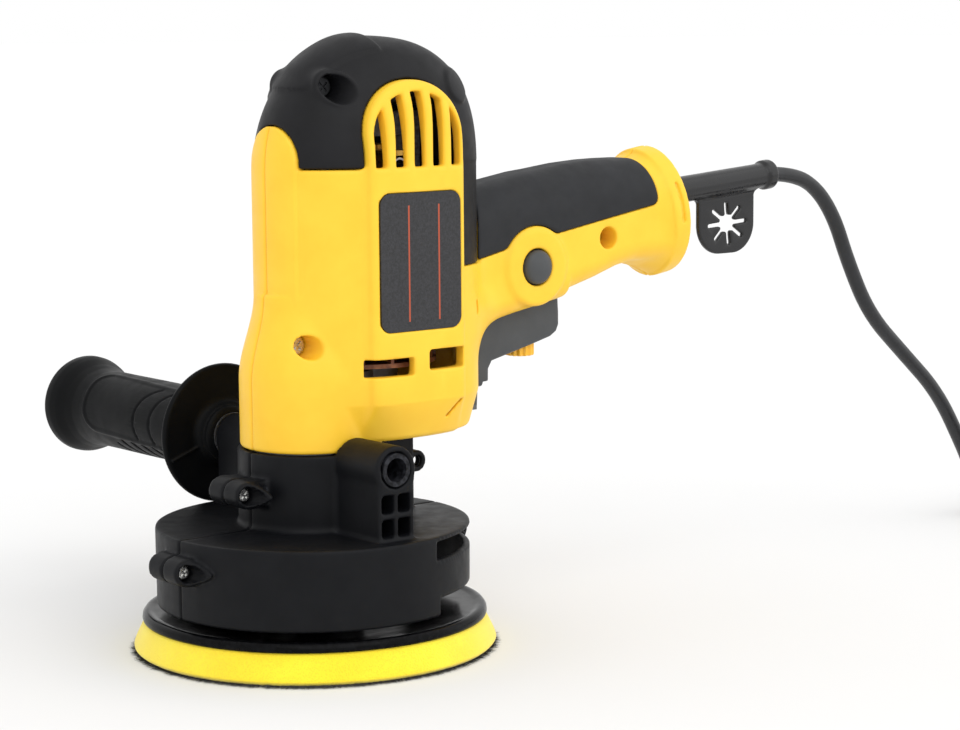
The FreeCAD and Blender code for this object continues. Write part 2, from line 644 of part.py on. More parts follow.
def handle_solid(grow=0.0, front=-103.0):
    """The handle's barrel from the motor housing to the rear flange."""
    sections = [(front, 25.5, -21.5, 17.0), (-78, 26.8, -20.5, 17.0), (-44, 26.2, -19.5, 17.0),
                (-20, 23.8, -16.8, 17.2), (-4, 21.0, -19.0, 19.0)]
    half = number("handle_half_width")
    wires = [handle_section(along, top, bottom, half + width - 17, grow)
             for along, top, bottom, width in sections]
    solid = Part.makeLoft(wires, True)
    solid.Placement = handle_frame()
    return solid


def handle_disc(along, width, radius, tip_radius=None):
    frame = handle_frame()
    axis = frame.Rotation.multVec(Vector(1, 0, 0))
    base = frame.multVec(Vector(along, 0, 0))
    if tip_radius is None:
        return Part.makeCylinder(radius, width, base, axis)
    return Part.makeCone(radius, tip_radius, width, base, axis)


def arch_solid(grow, inner_face, outer_face, side):
    """The raised panel with its round top, on one side of the housing."""
    middle, radius = number("arch_middle"), number("arch_radius") + grow
    spring = number("arch_spring")
    low = min(side * inner_face, side * outer_face)
    wide = abs(outer_face - inner_face)
    panel = Part.makeBox(2 * radius, wide, spring - 105 + grow, Vector(middle - radius, low, 105 - grow))
    return panel.fuse(Part.makeCylinder(radius, wide, Vector(middle, low, spring), Vector(0, 1, 0)))


def tongue_solid(grow):
    """The strip down the front with a rounded top."""
    half = 12.9 + grow
    top = 180 + grow
    shoulder = number("body_top") + 1
    rise = top - shoulder
    arc = Part.Arc(Vector(-30, -half, shoulder), Vector(-30, 0, top), Vector(-30, half, shoulder))
    sides = Part.makePolygon([Vector(-30, half, shoulder), Vector(-30, half, 100),
                              Vector(-30, -half, 100), Vector(-30, -half, shoulder)])
    outline = Part.Wire([arc.toShape()] + sides.Edges)
    prism = Part.Face(outline).extrude(Vector(24, 0, 0))
    plan = body_solid(100, shoulder + rise + 1, 0.6 + grow)
    return prism.common(plan)


def band_region():
    """Where the cap's black skin runs down behind the panels to the rear handle."""
    return slab((number("arch_middle + arch_radius") + 0.3, 80), (-60, 60), (131, 168))


def grip_region(grow=0.0):
    """The upper side of the handle, less a round land for the lock button on each side."""
    frame = handle_frame()
    region = Part.makeBox(87 + 2 * grow, 60, 40, Vector(-95 - grow, -30, 4.6 - grow))
    region.Placement = frame
    land = Part.makeCylinder(14.6 - grow, 60, point("lock_x", -30, "lock_z"), Vector(0, 1, 0))
    return region.cut(land)


def screw_places():
    """Housing screws: x, height, head seat and length, all driven from the -Y side."""
    return [(-12.4, 106.7, -8.0, 18.0), (121.6, 135.8, -7.0, 16.0)]


def cap_tubes():
    """Screw tubes across the cap: x and height."""
    return [(0.0, 193.0), (47.0, 193.0)]


def trigger_outline(grow=0.0):
    """The trigger's side view: a slanting finger face and a tail down the housing's back."""
    return [(66.0 - grow, 117.5), (66.0 - grow, 84.8), (71.4 + grow, 84.8), (71.6 + grow, 91.0),
            (73.2 + grow, 94.0 - grow), (77.0, 95.4 - grow), (101.5, 99.8 - grow),
            (104.6 + grow, 102.6), (105.2 + grow, 117.5)]


def make_housing():
    wall = number("wall")
    low, top = number("body_bottom"), number("body_top")
    # outer form
    outer = body_solid(low + 11, top)
    waist = Part.makeLoft([body_wire(low, -3.6), body_wire(low + 11)], True)
    outer = outer.fuse(waist)
    radius, shoulder = number("bulge_radius"), number("bulge_shoulder")
    bulge_low = number("bulge_bottom")
    outer = outer.fuse(Part.makeCylinder(radius, shoulder - bulge_low, Vector(0, 0, bulge_low)))
    outer = outer.fuse(Part.makeCone(radius, 18.9, number("bulge_top") - shoulder,
                                     Vector(0, 0, shoulder)))
    outer = outer.fuse(tongue_solid(0))
    crest = body_solid(100, number("dome_base"), 2.4).fuse(dome_solid(2.4))
    for side in (-1, 1):
        outer = outer.fuse(arch_solid(0, 18, number("panel_face"), side).common(crest))
    outer = outer.fuse(handle_solid())
    land = Part.makeCylinder(14.2, 2 * 18.2, point("lock_x", -18.2, "lock_z"), Vector(0, 1, 0))
    outer = outer.fuse(land)
    outer = outer.fuse(handle_disc(-14, 10.5, 18.5, 23.5)).fuse(
        handle_disc(-3.5, 8.0, number("flange_radius")))
    # cavity
    housing = outer.cut(body_solid(low + wall, 220, -wall))
    housing = housing.cut(Part.makeCylinder(radius - wall, shoulder - bulge_low + 1,
                                            Vector(0, 0, bulge_low - 1)))
    housing = housing.cut(handle_solid(-wall, -100.0)).cut(handle_disc(-10, 11, 14))
    # openings
    rear = number("panel_face") + 5
    for side in (-1, 1):
        depth = sorted((side * 18, side * rear))
        for index in range(-2, 3):
            slot_x = number("arch_middle") + 7.6 * index
            reach = math.sqrt(16.8 ** 2 - (7.6 * index) ** 2) if index in (-1, 0, 1) else 8.5
            slot = slab((slot_x - 1.95, slot_x + 1.95), depth, (number("body_top"),
                                                                number("arch_spring") + reach))
            housing = housing.cut(slot)
        for x_range, z_range in (((3, 20.8), (96, 102)), ((27.4, 43), (97, 104))):
            housing = housing.cut(slab(x_range, depth, z_range))
        face = number("panel_face")
        recess = label_solid(0.15).extrude(Vector(0, 0.9, 0))
        recess.translate(Vector(0, side * face - (0.9 if side > 0 else 0), 0))
        housing = housing.cut(recess)
    opening = side_plate([(63.6, 100), (106.2, 100), (106.2, 124), (63.6, 124)],
                         number("trigger_half_width") + 0.8)
    housing = housing.cut(opening)
    housing = housing.cut(Part.makeCylinder(number("lock_radius") + 0.5, 12, point(
        "lock_x", -10, "lock_z"), Vector(0, -1, 0)))
    for x, height, seat, length in screw_places():
        boss = Part.makeCylinder(4.6, length + 8, Vector(x, seat - 4, height), Vector(0, 1, 0))
        housing = housing.fuse(boss.common(outer))
    for x, height, seat, length in screw_places():
        housing = housing.cut(Part.makeCylinder(4.1, 20, Vector(x, seat, height), Vector(0, -1, 0)))
        housing = housing.cut(Part.makeCylinder(1.75, length + 1, Vector(x, seat, height),
                                                Vector(0, 1, 0)))
    # seats for the black skins and the mains lead's sleeve
    skin = body_solid(120, 170, 1).cut(body_solid(120, 170, -1.5)).common(band_region())
    housing = housing.cut(skin.cut(handle_solid(0.2)))
    grip_skin = handle_solid(3).cut(handle_solid(-1.7)).common(grip_region(0.1))
    housing = housing.cut(grip_skin.cut(handle_disc(-9, 12, 30)))
    start, along = sleeve_axis()
    housing = housing.cut(Part.makeCylinder(5.35, 16, start - along * 4, along))
    # bore for the gear case and the neck
    housing = housing.cut(oval(-0.3, 60, number("bearing_plate_top") - 60))
    bounds = 300
    left = housing.common(slab((-bounds, bounds), (0, bounds), (0, bounds)))
    right = housing.common(slab((-bounds, bounds), (-bounds, 0), (0, bounds)))
    shape_node("housing_left", largest(left))
    shape_node("housing_right", largest(right))
    screws = [screw(Vector(x, seat, height), Vector(0, 1, 0), length, 1.7, 3.5)
              for x, height, seat, length in screw_places()]
    shape_node("housing_screws", Part.Compound(screws))


def label_solid(grow):
    """The label plate's outline, a rounded rectangle in the XZ plane."""
    x_low, x_high, z_low, z_high = 7.4 - grow, 41.2 + grow, 111.0 - grow, 157.6 + grow
    plate = Part.makeBox(x_high - x_low, 1, z_high - z_low, Vector(x_low, 0, z_low))
    edges = [edge for edge in plate.Edges if edge.BoundBox.YLength > 0.9]
    plate = plate.makeFillet(4.0, edges)
    return next(face for face in plate.Faces if abs(face.BoundBox.YMax) < 1e-6)


def make_label_plates():
    plates = []
    for side in (-1, 1):
        plate = label_solid(0).extrude(Vector(0, 0.9, 0))
        face = number("panel_face") + 0.15
        plate.translate(Vector(0, side * face - (0.9 if side > 0 else 0), 0))
        plates.append(plate)
    shape_node("label_plates", Part.Compound(plates))


def make_cap():
    """Black top cap: a domed shell with two screw tubes, and a skin down the back."""
    wall = number("wall")
    top = number("body_top")
    outer = dome_solid(0).common(slab((-80, 80), (-60, 60), (top + 0.1, 220)))
    tubes = [Part.makeCylinder(6.0, 46, Vector(x, -23, height), Vector(0, 1, 0)).common(outer)
             for x, height in cap_tubes()]
    lobes = [Part.makeCylinder(6.0, 26, Vector(x, -13, height), Vector(0, 1, 0))
             for x, height in cap_tubes()]
    cap = outer.cut(dome_solid(-wall)).fuse(tubes + lobes)
    for side in (-1, 1):
        cap = cap.cut(arch_solid(0.2, 10, 60, side))
    cap = cap.cut(tongue_solid(0.2))
    for x, height in cap_tubes():
        cap = cap.cut(Part.makeCylinder(1.9, 60, Vector(x, -30, height), Vector(0, 1, 0)))
        for side in (-1, 1):
            cap = cap.cut(Part.makeCylinder(4.0, 24, Vector(x, side * 8, height),
                                            Vector(0, side, 0)))
    skin = body_solid(131.2, top + 0.1).cut(body_solid(131, top + 1, -1.4)).common(band_region())
    cap = cap.fuse(skin.cut(handle_solid(0.4)))
    shape_node("top_cap", cap)
    screws = [screw(Vector(x, -8, height), Vector(0, 1, 0), 15, 1.8, 3.5)
              for x, height in cap_tubes()]
    shape_node("cap_screws", Part.Compound(screws))


def make_grip():
    """Soft black skin over the handle's crown."""
    skin = handle_solid(0.5).cut(handle_solid(-1.6)).common(grip_region())
    skin = skin.cut(handle_disc(-9.1, 12, 30))
    skin = skin.cut(body_solid(100, 200, 0.3))
    shape_node("handle_grip", skin)


# ---------------------------------------------------------------- controls

def make_controls():
    """Trigger with its speed dial, lock button, switch and capacitor inside the handle."""
    half = number("trigger_half_width")
    trigger = side_plate(trigger_outline(), half)
    edges = [edge for edge in trigger.Edges if edge.BoundBox.YLength < 0.1
             and edge.BoundBox.ZMin < 110 and edge.BoundBox.XMax > 71.5]
    trigger = trigger.makeFillet(1.6, edges)
    hollow = side_plate([(73.5, 107), (102.5, 107), (102.5, 120), (73.5, 120)], half - 1.8)
    trigger = trigger.cut(hollow)
    trigger = trigger.fuse(Part.makeCylinder(3, 24, Vector(80, 0, 106)))
    dial_x = number("dial_x")
    seat_radius = number("dial_radius") + 0.3
    trigger = trigger.cut(Part.makeCylinder(seat_radius, 11, Vector(dial_x, 0, 90)))
    trigger = trigger.cut(Part.makeCylinder(1.55, 4, Vector(dial_x, 0, 100)))
    shape_node("trigger", trigger)
    bottom, top = number("dial_bottom"), number("dial_top")
    dial = Part.makeCylinder(number("dial_radius"), top - bottom, Vector(dial_x, 0, bottom))
    rib_count = 18
    for index in range(rib_count):
        flute = Part.makeCylinder(0.45, top - bottom, Vector(number("dial_radius") + 0.15, 0, 0))
        flute.Placement = Placement(Vector(dial_x, 0, bottom), Rotation(UP, 360 * index / rib_count))
        dial = dial.cut(flute)
    dial = dial.fuse(Part.makeCylinder(1.5, 4.2, Vector(dial_x, 0, top)))
    shape_node("speed_dial", dial)
    button = turned("LockButton", [
        ("0", "0"), ("lock_radius + 1.2", "0"), ("lock_radius + 1.2", "1.4"), ("lock_radius", "1.4"),
        ("lock_radius", "6.4"), ("lock_radius - 1.4", "7.6"), ("2.4", "8.2"), ("0", "8.3")],
        ("lock_x", -12.6, "lock_z"), Vector(0, -1, 0))
    node(button, "lock_button")
    body = slab((67, 103), (-8.6, 8.6), (125.2, 148))
    body = body.cut(Part.makeCylinder(3.4, 20, Vector(80, 0, 120)))
    terminals = [slab((88, 100), (y, y + 1), (148, 153)) for y in (-4, 3)]
    shape_node("switch_body", body.fuse(terminals))
    shape_node("capacitor", slab((107, 118), (-7.5, 7.5), (141, 157)))
    guide = side_plate([(63.4, 76.5), (68.4, 76.5), (68.8, 84.2), (63.4, 84.2)], 5.5)
    shape_node("tail_guide", guide.cut(body_solid(70, 100, 0.05)))


# ---------------------------------------------------------------- mains lead

def sleeve_axis():
    """Start of the strain relief inside the rear flange, and its direction."""
    start = Vector(153.0, 0, 148.5)
    tip = Vector(221.0, 0, 154.4)
    return start, (tip - start).normalize()


def make_strain_relief():
    """Rubber sleeve round the lead, with a flat key-holder tab hanging under it."""
    start, along = sleeve_axis()
    length = Vector(221.0, 0, 154.4).distanceToPoint(start)
    sleeve = Part.makeCone(5.2, 4.8, length - 4.5, start, along)
    collar = Part.makeCylinder(5.8, 4.5, start + along * (length - 4.5), along)
    anchor = Part.makeCylinder(8.0, 3.0, start - along * 3, along)
    tab = side_plate([(181, 149), (182.2, 140), (184.5, 131.5), (188.5, 126.6), (194.5, 124.4),
                      (201, 124.8), (206.5, 128), (210.2, 133), (211.8, 140), (212, 150)], 1.8)
    hub = Vector(197.6, -3, 136.2)
    star = Part.makeCylinder(3.3, 6, hub, Vector(0, 1, 0))
    ray_count = 8
    for index in range(ray_count):
        ray = Part.makeBox(7.3, 6, 1.5, Vector(0, 0, -0.75))
        ray.Placement = Placement(hub, Rotation(Vector(0, 1, 0), 360 * (index + 0.35) / ray_count))
        star = star.fuse(ray)
    solid = sleeve.fuse([collar, anchor, tab]).cut(star)
    solid = solid.cut(Part.makeCylinder(number("cord_radius") + 0.02, length + 10, start - along * 5, along))
    shape_node("strain_relief", solid.removeSplitter())
    inner = Part.makeCylinder(number("cord_radius"), length + 14, start - along * 14, along)
    shape_node("cord_in_handle", inner)
    block = slab((131, 138), (-9, 9), (150.4, 155.5))
    hidden = Part.makeCylinder(3.3, 40, start - along * 30, along)
    for y in (-6.2, 6.2):
        block = block.cut(Part.makeCylinder(1.45, 8, Vector(134.5, y, 149)))
    shape_node("cord_clamp", block.cut(hidden))
    screws = [screw(Vector(134.5, y, 155.5), Vector(0, 0, -1), 9, 1.4, 2.4) for y in (-6.2, 6.2)]
    shape_node("cord_clamp_screws", Part.Compound(screws))


def cord_route():
    """The lead's route by hand, from the sleeve down to the floor and into its coil."""
    low = number("cord_radius") + 0.05
    return [Vector(*place) for place in (
        (221.3, 0, 154.4), (235.0, 0, 153.7), (248.0, 0, 147.5), (258.5, 0, 135.0),
        (266.5, 0, 117.0), (279.5, 0, 94.5), (300.5, 0, 76.5), (322.0, -0.5, 58.0),
        (339.0, 0, 33.5), (355.0, 4, 12.5), (374.0, 9.5, low), (391.0, 12.5, low + 0.1))]


def rounded_path(corners):
    """Straight runs joined by tangent arcs, each as large as its two runs allow."""
    edges, radii = [], []
    start = corners[0]
    for before, corner, after in zip(corners, corners[1:], corners[2:]):
        arrive, leave = (corner - before).normalize(), (after - corner).normalize()
        turn = arrive.getAngle(leave)
        setback = 0.45 * min(before.distanceToPoint(corner), corner.distanceToPoint(after))
        radius = setback / math.tan(turn / 2)
        radii.append(radius)
        entry, leaving = corner - arrive * setback, corner + leave * setback
        inward = (leave - arrive).normalize()
        middle = corner + inward * (math.hypot(radius, setback) - radius)
        edges.append(Part.LineSegment(start, entry).toShape())
        edges.append(Part.Arc(entry, middle, leaving).toShape())
        start = leaving
    edges.append(Part.LineSegment(start, corners[-1]).toShape())
    return Part.Wire(edges), radii


def make_lead():
    """The free lead, its coil with a tie, and a plug with two round pins."""
    radius = number("cord_radius")
    route = cord_route()
    path, radii = rounded_path(route)
    circle = Part.Wire([Part.Circle(route[0], route[1] - route[0], radius).toShape()])
    tube = path.makePipeShell([circle], True, False)
    print("cord radii", [round(value) for value in radii])
    print("cord volume over section times length",
          round(tube.Volume / (math.pi * radius * radius * path.Length), 4), "length", path.Length)
    shape_node("mains_lead", tube)
    ring = doc.addObject("Part::Torus", "Coil")
    ring.setExpression("Radius1", formula("coil_radius"))
    ring.setExpression("Radius2", formula("bundle_radius"))
    ring.Placement = Placement(point("coil_x", "coil_y", "bundle_radius + 1"), Rotation())
    node(ring, "lead_coil")
    tie = turned("Tie", [("bundle_radius + 0.3", "-4"), ("bundle_radius + 0.9", "-4"),
                         ("bundle_radius + 0.9", "4"), ("bundle_radius + 0.3", "4")],
                 ("coil_x - coil_radius", "coil_y", "bundle_radius + 1"), Vector(0, 1, 0))
    node(tie, "coil_tie")
    x, y, middle = number("coil_x"), number("coil_y - coil_radius") - 5, 7
    body = slab((x - 68, x - 34), (y - 9, y + 9), (0.1, 2 * middle - 0.1))
    edges = [edge for edge in body.Edges if edge.BoundBox.XLength > 30]
    body = body.makeFillet(4.0, edges)
    boot = Part.makeCone(4.0, 5.6, 16, Vector(x - 18, y, middle), Vector(-1, 0, 0))
    shape_node("plug_body", body.fuse(boot))
    pins = [Part.makeCylinder(2.0, 19, Vector(x - 68, y + side * 5.6, middle), Vector(-1, 0, 0))
            for side in (-1, 1)]
    shape_node("plug_pins", Part.Compound(pins))


# ---------------------------------------------------------------- side handle

def make_side_handle():
    """Grip with a hand guard flange and a flared end, and the threaded stud it screws in by."""
    along_y = Vector(0, 1, 0)
    grip = turned("SideGrip", [
        ("thread_radius - 0.1", "block_face + washer_thickness + 0.2"),
        ("9.5", "block_face + washer_thickness + 0.2"), ("10.5", "block_face + 2"), ("11.5", "grip_flange_y"),
        ("grip_flange_radius", "grip_flange_y"), ("grip_flange_radius", "grip_flange_y + 2"),
        ("grip_flange_radius - 1", "grip_flange_y + 2.8"), ("grip_radius + 1", "grip_flange_y + 3.4"),
        ("grip_radius - 0.4", "grip_flange_y + 6"), ("grip_radius", "80"), ("grip_radius", "122"),
        ("grip_radius + 0.6", "132"), ("grip_radius + 1.8", "141"), ("knob_radius - 0.8", "149.5"),
        ("knob_radius", "grip_end - 3"), ("knob_radius", "grip_end - 1.6"),
        ("knob_radius - 1.2", "grip_end"), ("0", "grip_end"), ("0", "85"),
        ("thread_radius - 0.1", "85")], (0, 0, "thread_height"), along_y)
    node(grip, "side_handle_grip")
    washer = turned("Washer", [("thread_radius", "block_face + 0.1"), ("8", "block_face + 0.1"),
                               ("8", "block_face + washer_thickness + 0.1"),
                               ("thread_radius", "block_face + washer_thickness + 0.1")],
                    (0, 0, "thread_height"), along_y)
    node(washer, "side_handle_washer")
    stud = turned("Stud", [
        ("0", "block_face - insert_length + 1"), ("thread_radius - 0.9", "block_face - insert_length + 1"),
        ("thread_radius - 0.1", "block_face - insert_length + 2"), ("thread_radius - 0.1", "84.9"),
        ("0", "84.9")], (0, 0, "thread_height"), along_y)
    node(stud, "side_handle_stud")


# ---------------------------------------------------------------- build, test and write

make_pad()
make_crank()
make_spindle()
make_gears()
make_gear_case()
make_stator()
make_armature()
make_brush_gear()
make_shroud()
make_housing()
make_label_plates()
make_cap()
make_grip()
make_controls()
make_strain_relief()
make_lead()
make_side_handle()
doc.recompute()

failed = [item.Label for item in doc.Objects if {"Invalid", "Error"} & set(item.State)]
failed += [piece.Label for piece in nodes if piece.Shape.isNull() or not piece.Shape.isValid()]
if failed:
    raise RuntimeError("not built: " + ", ".join(failed))

os.makedirs("parts", exist_ok=True)
for piece in nodes:
    piece.Shape.exportStep(os.path.join("parts", piece.Label + ".step"))
print(len(nodes), "sub-parts written")
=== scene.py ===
"""Looks of the dual action polisher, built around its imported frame.

Shapes are worked out in millimetres about the spindle, as in the part's source,
and moved to the row's frame, which is in metres about the pad's centre.
"""

import math
import random

import bmesh
import bpy
import numpy as np
import openvdb
from mathutils import Matrix, Vector


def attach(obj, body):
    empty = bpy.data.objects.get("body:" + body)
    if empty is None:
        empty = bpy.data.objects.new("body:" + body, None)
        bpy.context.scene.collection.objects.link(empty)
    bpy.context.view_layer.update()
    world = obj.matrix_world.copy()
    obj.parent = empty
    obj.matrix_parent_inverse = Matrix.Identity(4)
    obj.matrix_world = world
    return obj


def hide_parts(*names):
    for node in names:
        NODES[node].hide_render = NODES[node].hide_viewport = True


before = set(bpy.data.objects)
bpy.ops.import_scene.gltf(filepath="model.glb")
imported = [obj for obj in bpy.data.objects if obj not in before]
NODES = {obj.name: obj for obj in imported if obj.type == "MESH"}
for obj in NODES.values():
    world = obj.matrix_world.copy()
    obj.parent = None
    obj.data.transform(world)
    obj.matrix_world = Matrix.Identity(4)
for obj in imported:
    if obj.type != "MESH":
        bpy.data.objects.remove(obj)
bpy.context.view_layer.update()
CRANK = Vector((2.571, 3.064, 0.0))  # the pad's centre from the spindle, in millimetres
TURN = 2 * math.pi
rng = random.Random(7)


def at(x, y, z):
    """A point about the spindle in millimetres, in the row's frame."""
    return (Vector((x, y, z)) - CRANK) / 1000


def on_circle(middle, radius, angle, height):
    """A point on a level circle about a middle, given like at's, in the row's frame."""
    return at(middle[0] + radius * math.cos(angle), middle[1] + radius * math.sin(angle), height)


def link(name, data):
    """A new object in the scene."""
    obj = bpy.data.objects.new(name, data)
    bpy.context.collection.objects.link(obj)
    return obj


# ---------------------------------------------------------------- camera

def add_camera():
    camera = bpy.data.cameras.new("Camera")
    camera.lens = 94.461
    camera.sensor_width = 36.0
    place = (-0.49159, -0.70768, 0.21159)
    right = Vector((0.7803503, -0.6252978, -0.0074837))
    up = Vector((0.0883203, 0.0983576, 0.9912241))
    back = Vector((-0.6190742, -0.7741631, 0.1319799))
    turn = Matrix((right, up, back)).transposed().to_4x4()
    obj = link("Camera", camera)
    obj.matrix_world = Matrix.Translation(place) @ turn
    bpy.context.scene.camera = obj


add_camera()


# ---------------------------------------------------------------- materials

class Material:
    """A Principled material with helpers for its noise, bump and wear."""

    def __init__(self, name, color, roughness, **sockets):
        self.material = bpy.data.materials.new(name)
        self.material.use_nodes = True
        self.tree = self.material.node_tree
        self.shader = self.tree.nodes["Principled BSDF"]
        self.coordinates = self.tree.nodes.new("ShaderNodeTexCoord").outputs["Object"]
        self.feed(color, self.shader.inputs["Base Color"])
        self.feed(roughness, self.shader.inputs["Roughness"])
        for socket, value in sockets.items():
            self.feed(value, self.shader.inputs[socket.replace("_", " ")])

    def feed(self, value, socket):
        """Set a socket to a number or a colour, or join an output to it."""
        if isinstance(value, bpy.types.NodeSocket):
            self.join(value, socket)
        elif isinstance(value, tuple):
            socket.default_value = (*value, 1.0)
        else:
            socket.default_value = value

    def add(self, kind, **values):
        node = self.tree.nodes.new("ShaderNode" + kind)
        for name, value in values.items():
            if name[0].isupper():
                node.inputs[name.replace("_", " ")].default_value = value
            else:
                setattr(node, name, value)
        return node

    def join(self, output, socket):
        self.tree.links.new(output, socket)

    def combine(self, operation, *values):
        """What a Math node makes of numbers and outputs."""
        node = self.add("Math", operation=operation)
        for value, socket in zip(values, node.inputs):
            self.feed(value, socket)
        return node.outputs[0]

    def mix(self, factor, first, second, blend="MIX"):
        """Two colours mixed by a factor."""
        node = self.add("Mix", data_type="RGBA", blend_type=blend)
        self.feed(factor, node.inputs["Factor"])
        self.feed(first, node.inputs[6])
        self.feed(second, node.inputs[7])
        return node.outputs[2]

    def noise(self, scale, detail=3.0, roughness=0.55, stretch=None):
        texture = self.add("TexNoise", Scale=scale, Detail=detail, Roughness=roughness)
        vector = self.coordinates
        if stretch:
            mapping = self.add("Mapping", Scale=stretch)
            self.join(vector, mapping.inputs["Vector"])
            vector = mapping.outputs["Vector"]
        self.join(vector, texture.inputs["Vector"])
        return texture.outputs["Fac"]

    def ramp(self, value, low, high, start=0.3, end=0.7):
        """A value remapped to low..high, or blended between two colours."""
        ramp = self.add("ValToRGB")
        first, last = ramp.color_ramp.elements
        first.position, last.position = start, end
        first.color = (*low, 1.0) if isinstance(low, tuple) else (low, low, low, 1.0)
        last.color = (*high, 1.0) if isinstance(high, tuple) else (high, high, high, 1.0)
        self.join(value, ramp.inputs["Fac"])
        return ramp.outputs["Color"]

    def tint(self, value, low, high):
        self.join(self.ramp(value, low, high), self.shader.inputs["Base Color"])

    def vary_roughness(self, value, low, high):
        self.join(self.ramp(value, low, high), self.shader.inputs["Roughness"])

    def bump(self, *layers):
        """Stack bumps: each layer is a value, its height in metres and its strength."""
        normal = None
        for value, height, strength in layers:
            bump = self.add("Bump", Strength=strength, Distance=height)
            self.join(value, bump.inputs["Height"])
            if normal:
                self.join(normal, bump.inputs["Normal"])
            normal = bump.outputs["Normal"]
        self.join(normal, self.shader.inputs["Normal"])

    def edge_wear(self, base_low, base_high, worn):
        """Base colour varied by noise, going lighter along sharp edges."""
        geometry = self.add("NewGeometry")
        edges = self.ramp(geometry.outputs["Pointiness"], 0.0, 1.0, 0.52, 0.62)
        patches = self.ramp(self.noise(540.0, 4.0), 0.0, 1.0, 0.42, 0.62)
        base = self.ramp(self.noise(90.0), base_low, base_high)
        amount = self.combine("MULTIPLY", edges, patches)
        self.join(self.mix(amount, base, worn), self.shader.inputs["Base Color"])


def linear(hex_color):
    """A web colour as linear light."""
    channels = [int(hex_color[index:index + 2], 16) / 255 for index in (0, 2, 4)]
    return tuple(value / 12.92 if value <= 0.04045 else ((value + 0.055) / 1.055) ** 2.4
                 for value in channels)


def moulded(name, low, high, worn, roughness, grain, grain_scale=2600.0, **sockets):
    """Moulded plastic: a fine spark-eroded grain, slow waviness and worn edges."""
    skin = Material(name, linear(high), roughness, **sockets)
    skin.edge_wear(linear(low), linear(high), linear(worn))
    fine = skin.noise(grain_scale, 2.0, 0.6)
    slow = skin.noise(35.0, 2.0, 0.5)
    skin.bump((fine, 0.00006, grain), (slow, 0.0006, 0.12))
    skin.vary_roughness(skin.noise(160.0, 4.0), roughness - 0.05, roughness + 0.07)
    return skin.material


def metal(name, hex_color, roughness, stretch=(1.0, 1.0, 1.0), scale=900.0):
    """Bare metal with fine machining lines, or laminations where the noise is stretched."""
    color = linear(hex_color)
    skin = Material(name, color, roughness, Metallic=1.0)
    darker = tuple(0.82 * channel for channel in color)
    lines = skin.noise(scale, 3.0, 0.6, stretch)
    skin.tint(lines, darker, color)
    skin.vary_roughness(lines, roughness - 0.06, roughness + 0.1)
    skin.bump((lines, 0.00003, 0.35))
    return skin.material


def make_materials():
    """Every material, by the short name that the pieces ask for."""
    return {
        "yellow": moulded("yellow_housing", "FDC832", "FFCE38", "FFDC78", 0.42, 0.10, 1900.0,
                          Specular_IOR_Level=0.35),
        "charcoal": moulded("charcoal_moulding", "0D0E11", "121316", "303136", 0.46, 0.25,
                            Specular_IOR_Level=0.14),
        "cap": moulded("cap_moulding", "101012", "151518", "36363C", 0.50, 0.26,
                       Specular_IOR_Level=0.22),
        "grip": moulded("soft_grip", "222325", "26272A", "3A3A3E", 0.62, 0.2, 3200.0,
                        Specular_IOR_Level=0.28),
        "control": moulded("control_moulding", "404244", "484A4C", "646669", 0.48, 0.2,
                           Specular_IOR_Level=0.4),
        # the side handle's charcoal plastic, painted darker and duller than the charcoal as
        # painted shade, since it faces away from the light
        "handle": moulded("side_handle_shaded_plastic", "090A0B", "0D0E10", "222428", 0.44, 0.25, 2100.0,
                          Specular_IOR_Level=0.08),
        "dial": moulded("dial_orange", "FFB628", "FFC638", "FFDC88", 0.40, 0.12),
        "plate": moulded("backing_plate_gloss", "030304", "060607", "1C1D20", 0.2, 0.05, 900.0,
                         Specular_IOR_Level=0.08),
        "sleeve": moulded("sleeve_rubber", "09090B", "0F0F12", "2A2A2E", 0.26, 0.10),
        "lead": moulded("lead_sheath", "0D0E11", "141519", "2A2B30", 0.36, 0.10, 1500.0),
        "steel": metal("ground_steel", "B9BABD", 0.34),
        "screw": metal("zinc_screw", "D4D4D2", 0.26),
        "cast": metal("cast_aluminium", "A9ABAD", 0.48, scale=500.0),
        "weight": metal("cast_weight", "4A4B4D", 0.55, scale=400.0),
        "brass": metal("brass_parts", "C9A253", 0.32),
        "copper": metal("copper_winding", "B5622F", 0.38, (1.0, 1.0, 60.0), 60.0),
        "laminated": metal("laminated_steel", "6E6F72", 0.5, (0.01, 0.01, 30.0), 120.0),
        "fan": moulded("fan_brown", "5A2E12", "6E3A18", "9A6440", 0.5, 0.2),
        "foam": foam_material(),
        "hooks": hook_material(),
        "label": label_material(),
    }


def foam_material():
    """Open foam: fine pores over slow blotches, with painted shade darkening each pore."""
    skin = Material("foam_yellow", linear("FFE81C"), 0.92, Sheen_Weight=0.35, Sheen_Roughness=0.6)
    cells = skin.add("TexVoronoi", Scale=1500.0)
    skin.join(skin.coordinates, cells.inputs["Vector"])
    depth = cells.outputs["Distance"]
    pores = skin.ramp(depth, 0.0, 1.0, 0.15, 0.6)
    blotches = skin.ramp(skin.noise(60.0, 4.0), linear("FBDD14"), linear("FFEA22"))
    # painted shade: the colour darkens towards the middle of each pore
    pore_shade = skin.ramp(depth, linear("E8D060"), (1.0, 1.0, 1.0), 0.1, 0.5)
    skin.join(skin.mix(0.35, blotches, pore_shade, "MULTIPLY"), skin.shader.inputs["Base Color"])
    skin.bump((pores, 0.00015, 0.45), (skin.noise(500.0, 3.0), 0.0003, 0.3))
    return skin.material


def hook_material():
    """Black hook pile, speckled and rough."""
    skin = Material("hook_pile", linear("141417"), 0.85, Sheen_Weight=0.3)
    speckle = skin.noise(2200.0, 2.0, 0.7)
    skin.tint(speckle, linear("08080A"), linear("26262B"))
    skin.bump((speckle, 0.0004, 0.8))
    return skin.material


